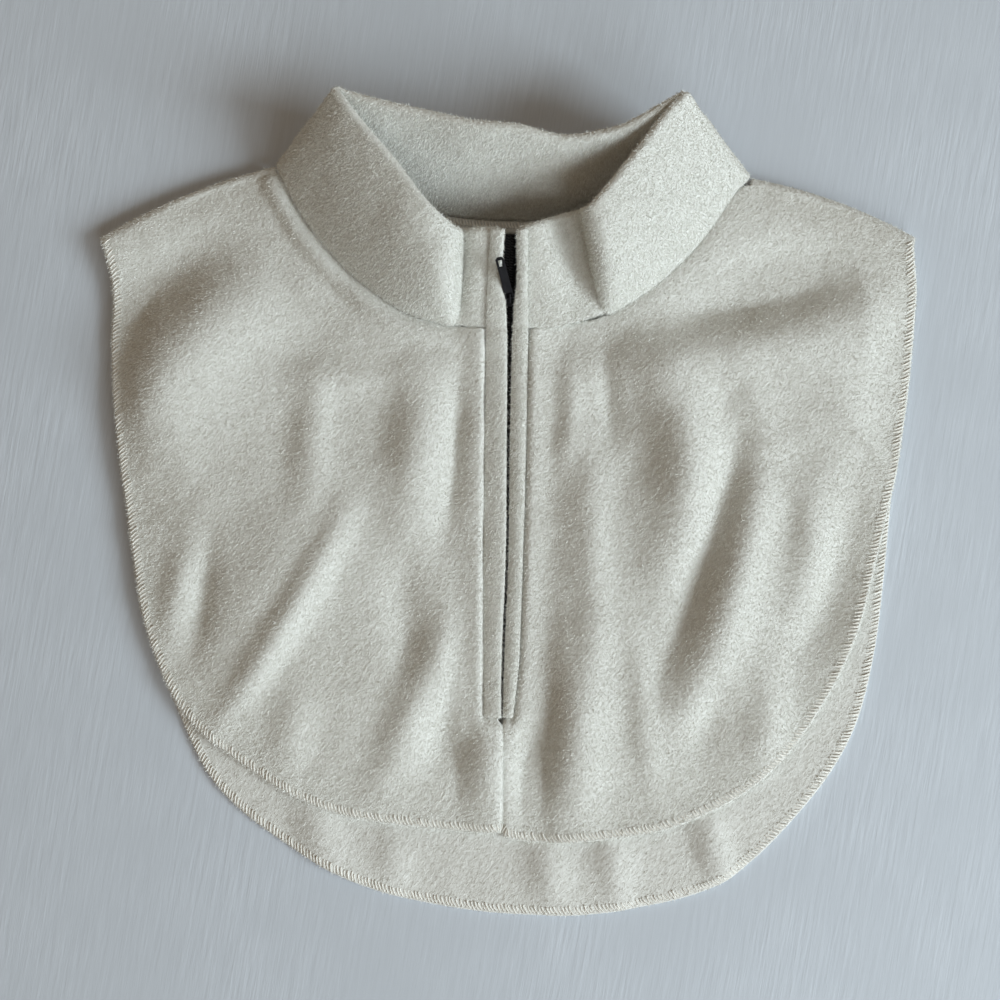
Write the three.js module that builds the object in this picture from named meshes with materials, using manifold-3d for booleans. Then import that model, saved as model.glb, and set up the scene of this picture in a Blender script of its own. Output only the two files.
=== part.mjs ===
// A fleece turtleneck dickey with a half zip, lying front up on a flat surface.
// Millimetres. +X is the viewer's right, +Y points from the hem to the collar, +Z is up.
// The drafting origin is on the centre line, level with the tips of the shoulder seams.
import * as THREE from 'three';
import { mergeVertices } from 'three/addons/utils/BufferGeometryUtils.js';
import Module from 'manifold-3d';

const wasm = await Module();
wasm.setup();

// Overall sizes
const halfWidth = 203;         // centre line to the widest point of a side edge
const frontLength = 325;       // shoulder tip level down to the lowest point of the front
const backLength = 367;        // the same for the longer back panel
const shoulderDrop = 31;       // how far the outer shoulder corner lies below the neck point
const shoulderBow = 3.5;       // crown of the shoulder line between neck and corner
const neckHalfWidth = 112;     // centre line to the neck point
const neckDepth = 76;          // neck point down to the front of the neck seam
const collarStand = 45;        // height of the collar's top edge over the surface
const collarSwell = 6;         // how far the softest fold of the collar bulges

// Cloth and clearances
const fleece = 2.2;            // one layer of fleece
const collarWall = 4.8;        // the collar is two layers, folded at its top edge
const lipWall = 1.6;           // welt of thinner, pressed fleece beside the zip
const seamSetback = 2.7;       // raw panel edge back from the neck seam line
const cornerSetback = 2.2;     // extra setback where the collar turns at the shoulder
const pieceGap = 0.35;         // clearance between neighbouring pieces
const hemGap = 0.5;            // clearance between the front's hem and the back panel
const rollRoom = 0.6;          // share of that gap that each side of the shoulder seam keeps
const foldRadius = 3.2;        // roll of the cloth at the shoulder seam
const airUnderFront = 6;       // height that the front stands proud of the back panel
const foldHeight = 8;          // highest fold of the front
const frontNeckRise = 12;      // front of the neck seam over the surface
const backNeckRise = 3.5;      // back of the neck seam over the surface

// Zip
const zipLength = 236;         // opening, measured in plan from collar edge to box end
const zipMouth = 5;            // half of the widest opening between the two welts
const zipDrift = 3;            // sideways wander of the zip's line
const lipWidth = 10;           // visible width of a welt
const lipCover = 2.2;          // how far a welt reaches past the panel edge under it
const seamPass = 2.3;          // from the neck seam down to where the cloth starts to thin
const seamFade = 14;           // and the length over which it thins to the panel's wall
const tapeWidth = 9;
const tapeWall = 0.7;
const tapeInset = 0.5;         // how far a tape reaches past its welt towards the coil
const cornerEase = 0.8;        // extra room under the collar's lower edge
const coilWidth = 4.2;
const coilHeight = 1.4;
const coilSetback = 3.5;       // the coil ends short of the box end
const sliderWidth = 7;
const sliderLength = 9;
const sliderHeight = 3.2;
const sliderNose = 0.55;       // half width of its closed end, as a share
const sliderTail = 0.8;        // half width of its open end
const sliderShoulder = 0.2;    // where it is widest, as a share of its half length
const sliderStation = 0.129;   // share of the zip's length where the slider stands
const pullLength = 24;
const pullWidth = 4;
const pullWall = 1;
const pullSkew = 14;           // degrees, the pull leans to the left of the zip's line
const pullLift = 23;           // degrees, the pull rests on the left welt
const hingeBar = 1;            // diameter of the pull's cross bar
const hingeRoom = 0.4;         // play of the bar in the slider's bridge
const bridgeWidth = 1;
const bridgeWall = 0.7;
const bridgeSlack = 0.8;        // length of the bridge past the play of the bar
const slotLength = 4;          // slot near the pull's free end
const slotShare = 0.45;        // its width as a share of the pull's
const pullMargin = 1.3;        // tab left beyond the slot

const seamTapeWidth = 4;
const seamTapeWall = 1.2;
const seamTapeFrom = 0.1;      // share of the back's turn at which the tape starts
const seamTapeEdge = 0.6;      // wall at its edges, as a share of its middle

// How the forms of the front run into each other
const neckBlend = 26;          // length over which the front rises to the neck seam
const backNeckBlend = 12;      // the same for the back panel
const zipFlat = 14;            // half width beside the zip that stays flat across
const zipFlatFade = 18;        // and the width over which the folds come back
const foldSoftness = 1.5;      // keeps the bottoms of the valleys round
const airFade = 0.68;          // share of the way to the hem where the air starts to fade
const hemFolds = 0.6;          // share of a fold's height that is left at the hem
const shoulderTurn = 0.14;     // share of the front's turn that the shoulder's roll takes
const backShoulderTurn = 0.08; // the same for the back
const foldEnd = 0.35;          // share of a fold's height that is left at its two ends
const foldSteps = 6;           // straight parts that a bent fold is measured by
const zipEndFade = 24;         // length below the zip over which the folds reach the centre line
const hemFade = 0.8;           // share of the way to the hem where the folds start to fade
const cornerTurn = 0.06;       // share of the turn over which the corner's setback fades
const zipTurn = [0.5, 0.8];    // between these shares of the turn the zip starts to level the cloth
const closeTurn = 0.82;        // past this share the front is drawn to its edge by the zip
const neckInset = 0.35;        // share of the turn that the shoulder's inset takes at the neck
const edgeInset = 0.1;         // the same at the outer edge
const jog = 4;                 // length over which the panels close below the zip

// Rows of values under named columns
function table(columns, rows) {
  return rows.map((row) => Object.fromEntries(columns.map((key, i) => [key, row[i]])));
}

// The collar, one row for each section round the neck, from the left end at the zip
// round the back to the right end. The seam and the top edge are given as shares:
// x of neckHalfWidth, y of neckDepth, z of collarStand; swell is a share of collarSwell.
const collarSections = table(
  ['name', 'seamX', 'seamY', 'seamZ', 'topX', 'topY', 'topZ', 'swell'],
  [
    ['left_end', -0.04, -0.99, 0.27, -0.04, -0.41, 0.67, 0],
    ['left_flat', -0.15, -0.99, 0.27, -0.13, -0.405, 0.665, 0],
    ['left_valley', -0.22, -0.975, 0.27, -0.2, -0.405, 0.6, -0.3],
    ['left_fold', -0.28, -0.955, 0.27, -0.245, -0.395, 0.78, 1.4],
    ['left_front', -0.47, -0.86, 0.27, -0.345, -0.265, 0.95, 1],
    ['left_bend', -0.68, -0.63, 0.24, -0.48, -0.02, 1, 0.6],
    ['left_side', -0.86, -0.33, 0.22, -0.6, 0.19, 0.98, 0.3],
    ['left_turn', -0.97, -0.05, 0.2, -0.67, 0.33, 0.96, 0.2],
    ['left_corner', -1, 0.07, 0.13, -0.7, 0.4, 0.93, 0],
    ['back_left', -0.92, 0.04, 0.08, -0.65, 0.38, 0.91, 0],
    ['back_left_bend', -0.61, -0.11, 0.08, -0.44, 0.3, 0.93, 0.2],
    ['back_left_mid', -0.3, -0.22, 0.08, -0.18, 0.2, 0.98, 0.3],
    ['back_centre', 0.01, -0.26, 0.08, 0.04, 0.17, 0.98, 0.2],
    ['back_dip', 0.3, -0.24, 0.08, 0.23, 0.11, 0.93, -0.2],
    ['back_right_bend', 0.63, -0.18, 0.08, 0.45, 0.17, 0.96, 0],
    ['back_right', 0.96, -0.07, 0.08, 0.64, 0.31, 0.98, 0.1],
    ['right_corner', 1.05, -0.01, 0.13, 0.72, 0.37, 0.98, 0],
    ['right_turn', 0.98, -0.12, 0.2, 0.66, 0.27, 1.02, 0.2],
    ['right_side', 0.83, -0.43, 0.22, 0.54, 0.05, 1.04, 0.4],
    ['right_front', 0.64, -0.7, 0.24, 0.41, -0.19, 1.03, 0.6],
    ['right_fold', 0.46, -0.87, 0.24, 0.33, -0.31, 0.97, 1],
    ['right_drop', 0.42, -0.895, 0.24, 0.305, -0.3, 0.7, -0.1],
    ['right_valley', 0.34, -0.94, 0.26, 0.235, -0.31, 0.58, -0.3],
    ['right_flat', 0.2, -0.99, 0.27, 0.13, -0.37, 0.69, 0],
    ['right_end', 0.05, -0.99, 0.27, 0.05, -0.4, 0.675, 0],
  ],
);
const lastSection = collarSections.length - 1;
const corners = ['left_corner', 'right_corner']
  .map((name) => collarSections.findIndex((row) => row.name === name));
const cornerPress = 0.06;      // share of the inner layer's wall left at a corner
const cornerReach = 1.9;       // sections on each side of a corner that are pressed

// Panel edges from the shoulder corner to the middle of the hem, or right round for the back.
// x is a share of halfWidth, down a share of the length below the shoulder corner, and
// neck the collar section from which the ray to that point leaves.
const leftFrontEdge = [
  { neck: 8, x: -0.991, down: 0 },
  { neck: 7.6, x: -0.964, down: 0.084 },
  { neck: 7.1, x: -0.967, down: 0.194 },
  { neck: 6.5, x: -0.951, down: 0.337 },
  { neck: 5.9, x: -0.927, down: 0.469 },
  { neck: 5.2, x: -0.885, down: 0.65 },
  { neck: 4.5, x: -0.797, down: 0.793 },
  { neck: 3.8, x: -0.658, down: 0.88 },
  { neck: 2.9, x: -0.472, down: 0.955 },
  { neck: 1.6, x: -0.247, down: 0.996 },
  { neck: 0, x: -0.02, down: 1 },
];
const rightFrontEdge = [
  { neck: 16, x: 0.991, down: 0 },
  { neck: 16.5, x: 0.995, down: 0.12 },
  { neck: 17.1, x: 0.966, down: 0.32 },
  { neck: 17.7, x: 0.919, down: 0.474 },
  { neck: 18.5, x: 0.853, down: 0.655 },
  { neck: 19.2, x: 0.77, down: 0.782 },
  { neck: 20, x: 0.648, down: 0.893 },
  { neck: 21, x: 0.477, down: 0.971 },
  { neck: 22.4, x: 0.232, down: 1.017 },
  { neck: 24, x: -0.018, down: 1 },
];
const backEdge = [
  { neck: 8, x: -0.991, down: 0 },
  { neck: 8.5, x: -0.961, down: 0.075 },
  { neck: 8.7, x: -0.962, down: 0.17 },
  { neck: 8.85, x: -0.946, down: 0.295 },
  { neck: 9, x: -0.922, down: 0.411 },
  { neck: 9.25, x: -0.88, down: 0.57 },
  { neck: 9.6, x: -0.806, down: 0.703 },
  { neck: 9.95, x: -0.713, down: 0.809 },
  { neck: 10.5, x: -0.547, down: 0.893 },
  { neck: 11.1, x: -0.35, down: 0.957 },
  { neck: 11.7, x: -0.13, down: 0.989 },
  { neck: 12.3, x: 0.08, down: 1 },
  { neck: 12.9, x: 0.278, down: 0.993 },
  { neck: 13.5, x: 0.521, down: 0.953 },
  { neck: 14, x: 0.713, down: 0.849 },
  { neck: 14.4, x: 0.838, down: 0.74 },
  { neck: 14.75, x: 0.897, down: 0.619 },
  { neck: 15, x: 0.927, down: 0.473 },
  { neck: 15.15, x: 0.945, down: 0.347 },
  { neck: 15.3, x: 0.965, down: 0.235 },
  { neck: 15.5, x: 0.989, down: 0.11 },
  { neck: 16, x: 0.991, down: 0 },
];

// Folds of the front: ridges and valleys along a bent line through three points. x is a
// share of halfWidth, down of frontLength, width of halfWidth and height of foldHeight.
const frontFolds = table(
  ['name', 'x1', 'down1', 'x2', 'down2', 'x3', 'down3', 'width', 'height'],
  [
    ['left_arm_valley', -0.94, 0.235, -0.87, 0.167, -0.68, 0.099, 0.092, -0.56],
    ['left_arm_ridge', -0.94, 0.417, -0.76, 0.266, -0.53, 0.167, 0.116, 0.81],
    ['left_cross_ridge', -0.56, 0.303, -0.38, 0.308, -0.2, 0.288, 0.048, 0.23],
    ['left_chest_ridge', -0.46, 0.311, -0.47, 0.387, -0.48, 0.485, 0.044, 0.28],
    ['left_zip_ridge', -0.19, 0.266, -0.21, 0.387, -0.25, 0.538, 0.068, 0.5],
    ['left_zip_valley', -0.11, 0.311, -0.12, 0.417, -0.15, 0.553, 0.036, -0.31],
    ['left_side_ridge', -0.77, 0.553, -0.81, 0.643, -0.85, 0.727, 0.039, 0.25],
    ['left_long_ridge', -0.39, 0.507, -0.53, 0.674, -0.72, 0.847, 0.036, 0.38],
    ['left_belly_ridge', -0.43, 0.492, -0.58, 0.643, -0.66, 0.795, 0.109, 0.31],
    ['left_belly_valley', -0.26, 0.583, -0.25, 0.674, -0.23, 0.764, 0.048, -0.23],
    ['left_lower_ridge', -0.14, 0.674, -0.22, 0.795, -0.32, 0.946, 0.053, 0.38],
    ['left_hem_ridge', -0.5, 0.779, -0.53, 0.847, -0.55, 0.915, 0.053, 0.28],
    ['centre_ridge', -0.06, 0.719, -0.05, 0.855, -0.04, 0.991, 0.058, 0.5],
    ['left_seam_valley', -0.14, 0.779, -0.15, 0.885, -0.16, 0.991, 0.048, -0.31],
    ['right_shoulder_valley', 0.32, 0.195, 0.56, 0.172, 0.85, 0.133, 0.087, -0.9],
    ['right_arm_ridge', 0.13, 0.269, 0.46, 0.269, 0.83, 0.235, 0.092, 0.6],
    ['right_chest_ridge', 0.31, 0.281, 0.43, 0.402, 0.38, 0.583, 0.075, 0.8],
    ['right_long_ridge', 0.6, 0.429, 0.56, 0.583, 0.44, 0.802, 0.06, 0.8],
    ['right_side_ridge', 0.93, 0.477, 0.88, 0.643, 0.76, 0.832, 0.063, 0.44],
    ['right_side_valley', 0.85, 0.477, 0.8, 0.628, 0.69, 0.764, 0.048, -0.25],
    ['right_hem_ridge', 0.64, 0.764, 0.63, 0.855, 0.6, 0.93, 0.053, 0.38],
    ['right_hem_valley', 0.5, 0.779, 0.48, 0.855, 0.46, 0.938, 0.044, -0.25],
    ['right_lower_ridge', 0.19, 0.704, 0.17, 0.855, 0.17, 0.994, 0.068, 0.56],
    ['right_seam_valley', 0.1, 0.779, 0.07, 0.9, 0.06, 0.994, 0.041, -0.38],
    ['right_zip_ridge', 0.2, 0.402, 0.2, 0.553, 0.21, 0.719, 0.044, 0.25],
    ['right_breast_ridge', 0.56, 0.319, 0.59, 0.349, 0.62, 0.402, 0.048, 0.19],
    ['right_belly_ridge', 0.72, 0.477, 0.73, 0.553, 0.71, 0.643, 0.044, 0.25],
  ],
);

// The zip's line, one row for each station: at is a share of zipLength, centre of
// zipDrift, opening of zipMouth, left and right the welts' widths as shares of lipWidth.
const zipStations = [
  { at: 0, centre: 0.37, opening: 0.56, left: 0.65, right: 0.52 },
  { at: 0.047, centre: 0.23, opening: 0.66, left: 0.66, right: 0.52 },
  { at: 0.08, centre: 0.1, opening: 0.76, left: 0.62, right: 0.52 },
  { at: 0.11, centre: 0.13, opening: 0.67, left: 0.7, right: 0.56 },
  { at: 0.134, centre: 0.27, opening: 0.42, left: 0.92, right: 0.67 },
  { at: 0.214, centre: 0.22, opening: 0.25, left: 1.02, right: 0.78 },
  { at: 0.434, centre: 0.02, opening: 0.17, left: 1.06, right: 0.79 },
  { at: 0.666, centre: -0.18, opening: 0.15, left: 1.06, right: 0.71 },
  { at: 0.884, centre: -0.85, opening: 0.15, left: 0.86, right: 0.72 },
  { at: 1, centre: -1, opening: 0.1, left: 0.84, right: 0.49 },
];

// Height of the front along its centre line, as shares of frontNeckRise
const centreHeights = [
  { at: 0, rise: 1 },
  { at: 0.1, rise: 0.8 },
  { at: 0.3, rise: 0.68 },
  { at: 0.55, rise: 0.66 },
  { at: 0.77, rise: 0.56 },
  { at: 0.9, rise: 0.42 },
  { at: 1, rise: 0.33 },
];

const { lerp, clamp, degToRad } = THREE.MathUtils;

function smooth(low, high, value) {
  const t = clamp((value - low) / (high - low), 0, 1);
  return t * t * (3 - 2 * t);
}

function bell(distance, width) {
  return Math.exp(-((distance / width) ** 2));
}

// Catmull-Rom through one column of a table, at a fractional row number
function column(rows, key, row) {
  const last = rows.length - 1;
  const i = clamp(Math.floor(row), 0, last - 1);
  const t = row - i;
  const value = (k) => rows[clamp(k, 0, last)][key];
  const before = i > 0 ? value(i - 1) : 2 * value(0) - value(1);
  const after = i + 2 <= last ? value(i + 2) : 2 * value(last) - value(last - 1);
  const slopeIn = (value(i + 1) - before) / 2;
  const slopeOut = (after - value(i)) / 2;
  const t2 = t * t;
  const t3 = t2 * t;
  return (2 * t3 - 3 * t2 + 1) * value(i) + (t3 - 2 * t2 + t) * slopeIn
    + (3 * t2 - 2 * t3) * value(i + 1) + (t3 - t2) * slopeOut;
}

// The fractional row at which the column named at reaches a share
function rowAt(rows, share) {
  let i = 0;
  while (i < rows.length - 2 && rows[i + 1].at < share) i += 1;
  return i + clamp((share - rows[i].at) / (rows[i + 1].at - rows[i].at), 0, 1);
}

// The zip's line

function zipShare(y) {
  return clamp((collarTopY - y) / zipLength, 0, 1);
}

function zipAt(share) {
  const row = rowAt(zipStations, share);
  return {
    centre: column(zipStations, 'centre', row) * zipDrift,
    opening: column(zipStations, 'opening', row) * zipMouth,
    left: column(zipStations, 'left', row) * lipWidth,
    right: column(zipStations, 'right', row) * lipWidth,
  };
}

const collarTopY = collarSections[0].topY * neckDepth;
const neckFrontY = collarSections[0].seamY * neckDepth;
const zipEndY = collarTopY - zipLength;
const collarTopZ = collarSections[0].topZ * collarStand;

// Where a front edge runs beside the zip, and meets the other at the seam below it
function centreEdge(y, side) {
  const zip = zipAt(zipShare(y));
  const open = zip.opening + lipCover;
  const closed = pieceGap / 2;
  return zip.centre + side * lerp(open, closed, smooth(zipEndY, zipEndY - jog, y));
}

// The collar

function neckSeam(section) {
  const row = clamp(section, 0, lastSection);
  return new THREE.Vector3(
    column(collarSections, 'seamX', row) * neckHalfWidth,
    column(collarSections, 'seamY', row) * neckDepth,
    column(collarSections, 'seamZ', row) * collarStand,
  );
}

function collarTop(section) {
  const row = clamp(section, 0, lastSection);
  return new THREE.Vector3(
    column(collarSections, 'topX', row) * neckHalfWidth,
    column(collarSections, 'topY', row) * neckDepth,
    column(collarSections, 'topZ', row) * collarStand,
  );
}

// Middle of the collar's wall; height runs from 0 at the seam to 1 at the top edge
function collarPoint(section, height) {
  const seam = neckSeam(section);
  const rise = collarTop(section).sub(seam);
  const step = neckSeam(section + 0.05).sub(neckSeam(section - 0.05));
  const outward = rise.clone().cross(step).normalize();
  const swell = column(collarSections, 'swell', clamp(section, 0, lastSection)) * collarSwell;
  const point = seam.addScaledVector(rise, height);
  point.addScaledVector(outward, swell * 4 * height * (1 - height));
  const side = section < lastSection / 2 ? -1 : 1;
  const fromEnd = Math.min(section, lastSection - section);
  const hold = 1 - smooth(0, 1, fromEnd);
  point.x += hold * (centreEdge(point.y, side) - collarEndX(section, height));
  return point;
}

function collarEndX(section, height) {
  const end = section < lastSection / 2 ? 0 : lastSection;
  return lerp(neckSeam(end).x, collarTop(end).x, height);
}

// Unit vectors of a surface at a point: along its first direction, its second, and out
function surfaceFrame(surface, u, v, du, dv) {
  const across = surface(u + du, v).sub(surface(u - du, v)).normalize();
  const along = surface(u, Math.min(v + dv, 1)).sub(surface(u, Math.max(v - dv, 0))).normalize();
  const normal = new THREE.Vector3().crossVectors(along, across).normalize();
  return { across, along, normal };
}

// Closed band: one loop of points for each station, joined, with a cap at each end.
// A loop goes up one face and back down the other, so its caps pair opposite points.
function loopSolid(loops) {
  const count = loops[0].length;
  const positions = loops.flat().flatMap((p) => [p.x, p.y, p.z]);
  const index = [];
  const quad = (a, b, c, d) => index.push(a, b, c, a, c, d);
  for (let i = 0; i < loops.length - 1; i += 1) {
    for (let j = 0; j < count; j += 1) {
      const k = (j + 1) % count;
      quad(i * count + j, (i + 1) * count + j, (i + 1) * count + k, i * count + k);
    }
  }
  const cap = (base, flip) => {
    for (let j = 0; j < count / 2 - 1; j += 1) {
      const corners = [base + j, base + j + 1, base + count - 2 - j, base + count - 1 - j];
      if (corners[1] === corners[2]) {
        index.push(...(flip ? [corners[0], corners[3], corners[1]] : [corners[0], corners[1], corners[3]]));
      } else {
        quad(...(flip ? corners.reverse() : corners));
      }
    }
  };
  cap(0, false);
  cap((loops.length - 1) * count, true);
  const geometry = new THREE.BufferGeometry();
  geometry.setAttribute('position', new THREE.Float32BufferAttribute(positions, 3));
  geometry.setIndex(volumeOf(positions, index) < 0 ? index.reverse() : index);
  geometry.computeVertexNormals();
  return geometry;
}

function volumeOf(positions, index) {
  const corner = (k) => new THREE.Vector3().fromArray(positions, index[k] * 3);
  let volume = 0;
  for (let k = 0; k < index.length; k += 3) {
    volume += corner(k).dot(corner(k + 1).cross(corner(k + 2)));
  }
  return volume;
}

function steps(from, to, count) {
  return Array.from({ length: count + 1 }, (_, i) => lerp(from, to, i / count));
}

// The inner layer is pressed thin where the collar folds back on itself at its two corners
function innerHalf(section) {
  const fromCorner = Math.min(...corners.map((corner) => Math.abs(section - corner)));
  return collarWall / 2 * lerp(cornerPress, 1, smooth(0, cornerReach, fromCorner));
}

function collarGeometry() {
  const heights = [0, 0.15, 0.35, 0.55, 0.75, 0.9];
  const rollAngles = steps(0, Math.PI, 4);
  const sections = steps(0, lastSection, 62);
  return loopSolid(sections.map((section) => {
    const frame = (height) => surfaceFrame(collarPoint, section, height, 0.04, 0.02);
    const face = (height, offset) => {
      const { normal } = frame(height);
      return collarPoint(section, height).addScaledVector(normal, offset);
    };
    const half = collarWall / 2;
    const inside = innerHalf(section);
    const rise = collarTop(section).distanceTo(neckSeam(section));
    const rollHeight = 1 - half / rise;
    const { normal, along } = frame(rollHeight);
    const roll = rollAngles.map((angle) => collarPoint(section, rollHeight)
      .addScaledVector(normal, Math.cos(angle) * (Math.cos(angle) > 0 ? half : inside))
      .addScaledVector(along, Math.sin(angle) * half));
    const outer = heights.map((height) => face(height, half));
    const inner = heights.map((height) => face(height, -inside)).reverse();
    return [...outer, ...roll, ...inner];
  }));
}

// The front and back panels

const backMiddle = fleece / 2;
const frontRest = fleece + hemGap + fleece / 2;
const shoulderTop = backMiddle + 2 * foldRadius;

function centreHeight(y) {
  const share = clamp((neckFrontY - y) / (neckFrontY + frontLength), 0, 1);
  return column(centreHeights, 'rise', rowAt(centreHeights, share)) * frontNeckRise;
}

// Distance from a bent line to a point, and the share of the line at which it is nearest
function nearestOnFold(line, point) {
  let distance = Infinity;
  let along = 0;
  for (let i = 0; i < foldSteps; i += 1) {
    const run = line[i + 1].clone().sub(line[i]);
    const offset = point.clone().sub(line[i]);
    const t = clamp(offset.dot(run) / run.lengthSq(), 0, 1);
    const away = offset.addScaledVector(run, -t).length();
    if (away < distance) {
      distance = away;
      along = (i + t) / foldSteps;
    }
  }
  return { distance, along };
}

// The line of a fold runs through its middle point halfway
function foldLine(fold) {
  const place = (x, down) => new THREE.Vector2(x * halfWidth, -down * frontLength);
  const first = place(fold.x1, fold.down1);
  const last = place(fold.x3, fold.down3);
  const bend = place(fold.x2, fold.down2).multiplyScalar(2)
    .sub(first.clone().add(last).divideScalar(2));
  return new THREE.QuadraticBezierCurve(first, bend, last).getPoints(foldSteps);
}

const foldLines = frontFolds.map(foldLine);

function foldsAt(x, y) {
  const point = new THREE.Vector2(x, y);
  return frontFolds.reduce((height, fold, i) => {
    const { distance, along } = nearestOnFold(foldLines[i], point);
    const taper = lerp(foldEnd, 1, Math.sin(Math.PI * along));
    return height + bell(distance, fold.width * halfWidth) * taper * fold.height * foldHeight;
  }, 0);
}

function frontHeight(x, y, turn, reach, neckZ, length) {
  const air = airUnderFront * (1 - smooth(airFade, 1, reach));
  const folds = foldsAt(x, y) * lerp(1, hemFolds, smooth(hemFade, 1, reach));
  const lift = air + folds;
  const soft = (lift + Math.hypot(lift, foldSoftness)) / 2;
  let z = frontRest + soft;
  z = lerp(z, neckZ, bell(reach * length, neckBlend));
  z = lerp(z, shoulderTop, 1 - smooth(0, shoulderTurn, turn));
  const fromZip = Math.abs(x - zipAt(zipShare(y)).centre);
  const besideZip = 1 - smooth(zipFlat, zipFlat + zipFlatFade, fromZip);
  const pastZip = smooth(0, zipEndFade, zipEndY - y);
  const lineHeight = Math.max(centreHeight(y) + pastZip * folds, frontRest);
  return lerp(z, lineHeight, besideZip * smooth(...zipTurn, turn));
}

// A panel is ruled: each ray leaves the neck seam at a section and ends on the outer edge.
// turn runs from 0 at the shoulder line to 1 at the last row of the edge table, and reach
// from 0 at the neck to 1 at the outer edge.
function ray(edge, length, turn) {
  const row = turn * (edge.length - 1);
  const seam = neckSeam(column(edge, 'neck', row));
  const end = new THREE.Vector3(
    column(edge, 'x', row) * halfWidth,
    -shoulderDrop - column(edge, 'down', row) * (length - shoulderDrop),
    0,
  );
  const neckZ = seam.z;
  const start = seam.setZ(0);
  const run = end.clone().sub(start);
  return { start, end, run, span: run.length(), neckZ };
}

function rayPoint(edge, length, turn, reach) {
  const { start, run, span, neckZ } = ray(edge, length, turn);
  const nearShoulder = Math.min(turn, edge === backEdge ? 1 - turn : 1);
  const setback = seamSetback + cornerSetback * bell(nearShoulder, cornerTurn);
  const share = lerp(setback / span, 1, reach);
  const point = start.addScaledVector(run, share);
  const shoulder = 1 - smooth(0, lerp(neckInset, edgeInset, reach), nearShoulder);
  const outward = new THREE.Vector3(Math.abs(run.y), Math.abs(run.x), 0).normalize();
  outward.x *= Math.sign(run.x);
  const bow = shoulderBow * 4 * reach * (1 - reach);
  point.addScaledVector(outward, shoulder * (bow - foldRadius));
  return { point, span, neckZ, outward };
}

// Rolls the shoulder edge over: turn below 0 (or over 1 on the back) goes round the fold
function rolled(point, outward, over, rise) {
  const angle = over * Math.PI / 2;
  point.addScaledVector(outward, foldRadius * Math.sin(angle));
  point.z += rise * foldRadius * (1 - Math.cos(angle));
  return point;
}

function frontPoint(edge, side) {
  return (turn, reach) => {
    const flatTurn = clamp(turn, 0, 1);
    const { point, span, neckZ, outward } = rayPoint(edge, frontLength, flatTurn, reach);
    const hold = smooth(closeTurn, 1, flatTurn);
    point.x += hold * (centreEdge(point.y, side) - point.x);
    const seamZ = Math.max(neckZ, shoulderTop);
    point.z = frontHeight(point.x, point.y, flatTurn, reach, seamZ, span);
    return rolled(point, outward, Math.max(-turn, 0), -1);
  };
}

function backPoint(turn, reach) {
  const flatTurn = clamp(turn, 0, 1);
  const { point, span, outward } = rayPoint(backEdge, backLength, flatTurn, reach);
  const nearShoulder = Math.min(flatTurn, 1 - flatTurn);
  const rise = (backNeckRise - backMiddle) * smooth(0, backShoulderTurn, nearShoulder);
  point.z = backMiddle + rise * bell(reach * span, backNeckBlend);
  return rolled(point, outward, Math.max(-turn, turn - 1, 0), 1);
}

// Flat cloth of one thickness between its two faces
function clothSolid(surface, turns, reaches) {
  return loopSolid(turns.map((turn) => {
    const face = (reach, side) => {
      const { normal } = surfaceFrame(surface, turn, reach, 0.03, 0.01);
      return surface(turn, reach).addScaledVector(normal, side * fleece / 2);
    };
    const top = reaches.map((reach) => face(reach, 1));
    const under = reaches.map((reach) => face(reach, -1)).reverse();
    return [...top, ...under];
  }));
}

const rollEnd = 1 - pieceGap * rollRoom / foldRadius / (Math.PI / 2);
const rollTurns = [rollEnd, 0.66, 0.33];

function frontGeometry(edge, side) {
  const zipEnd = (neckFrontY - zipEndY) / (neckFrontY + frontLength);
  const closed = zipEnd + jog / (neckFrontY + frontLength);
  const body = [0, 0.03, 0.08, 0.15, 0.23, 0.31, 0.39, 0.47, 0.55, 0.63, 0.7, zipEnd, closed, 0.87, 0.94, 1];
  const turns = [...rollTurns.map((turn) => -turn), ...steps(0, 1, 25)];
  return clothSolid(frontPoint(edge, side), turns, body);
}

function backGeometry() {
  const reaches = [0, 0.02, 0.05, 0.1, 0.2, 0.32, 0.44, 0.56, 0.68, 0.8, 0.9, 1];
  const beyond = rollTurns.map((turn) => 1 + turn).reverse();
  const turns = [...rollTurns.map((turn) => -turn), ...steps(0, 1, 40), ...beyond];
  return clothSolid(backPoint, turns, reaches);
}

// The zip: everything follows one centre path, up the front and up the collar

const seamStation = (collarTopY - neckFrontY) / zipLength;
const thinFrom = seamStation + seamPass / zipLength;

function pathPoint(share) {
  const y = collarTopY - share * zipLength;
  const z = share < seamStation
    ? lerp(collarTopZ, frontNeckRise, share / seamStation)
    : centreHeight(y);
  return new THREE.Vector3(0, y, z);
}

function pathNormal(share) {
  const step = 0.01;
  const run = pathPoint(Math.max(share - step, 0)).sub(pathPoint(Math.min(share + step, 1)));
  return new THREE.Vector3(0, -run.z, run.y).normalize();
}

// Half thickness of the cloth under the welts: the collar's wall, then the panel's
function halfCloth(share) {
  return lerp(collarWall, fleece, smooth(thinFrom, thinFrom + seamFade / zipLength, share)) / 2;
}

const coilStart = sliderStation + (sliderLength / 2 + pieceGap) / zipLength;
const coilEnd = 1 - coilSetback / zipLength;
const zipLoops = [...steps(0, 1, 36), coilStart, coilEnd].sort((a, b) => a - b);

// A strip along the zip: inner and outer edges from the centre line, between two levels
function stripGeometry(from, to, edges, levels) {
  const stations = zipLoops.filter((share) => share >= from && share <= to);
  return loopSolid(stations.map((share) => {
    const base = pathPoint(share);
    const normal = pathNormal(share);
    const zip = zipAt(share);
    const [left, right] = edges(zip, share);
    const [low, high] = levels(share);
    const corner = (x, level) => base.clone().addScaledVector(normal, level)
      .setX(zip.centre + x);
    const middle = (left + right) / 2;
    return [
      corner(left, high), corner(middle, high), corner(right, high),
      corner(right, low), corner(middle, low), corner(left, low),
    ];
  }));
}

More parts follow.
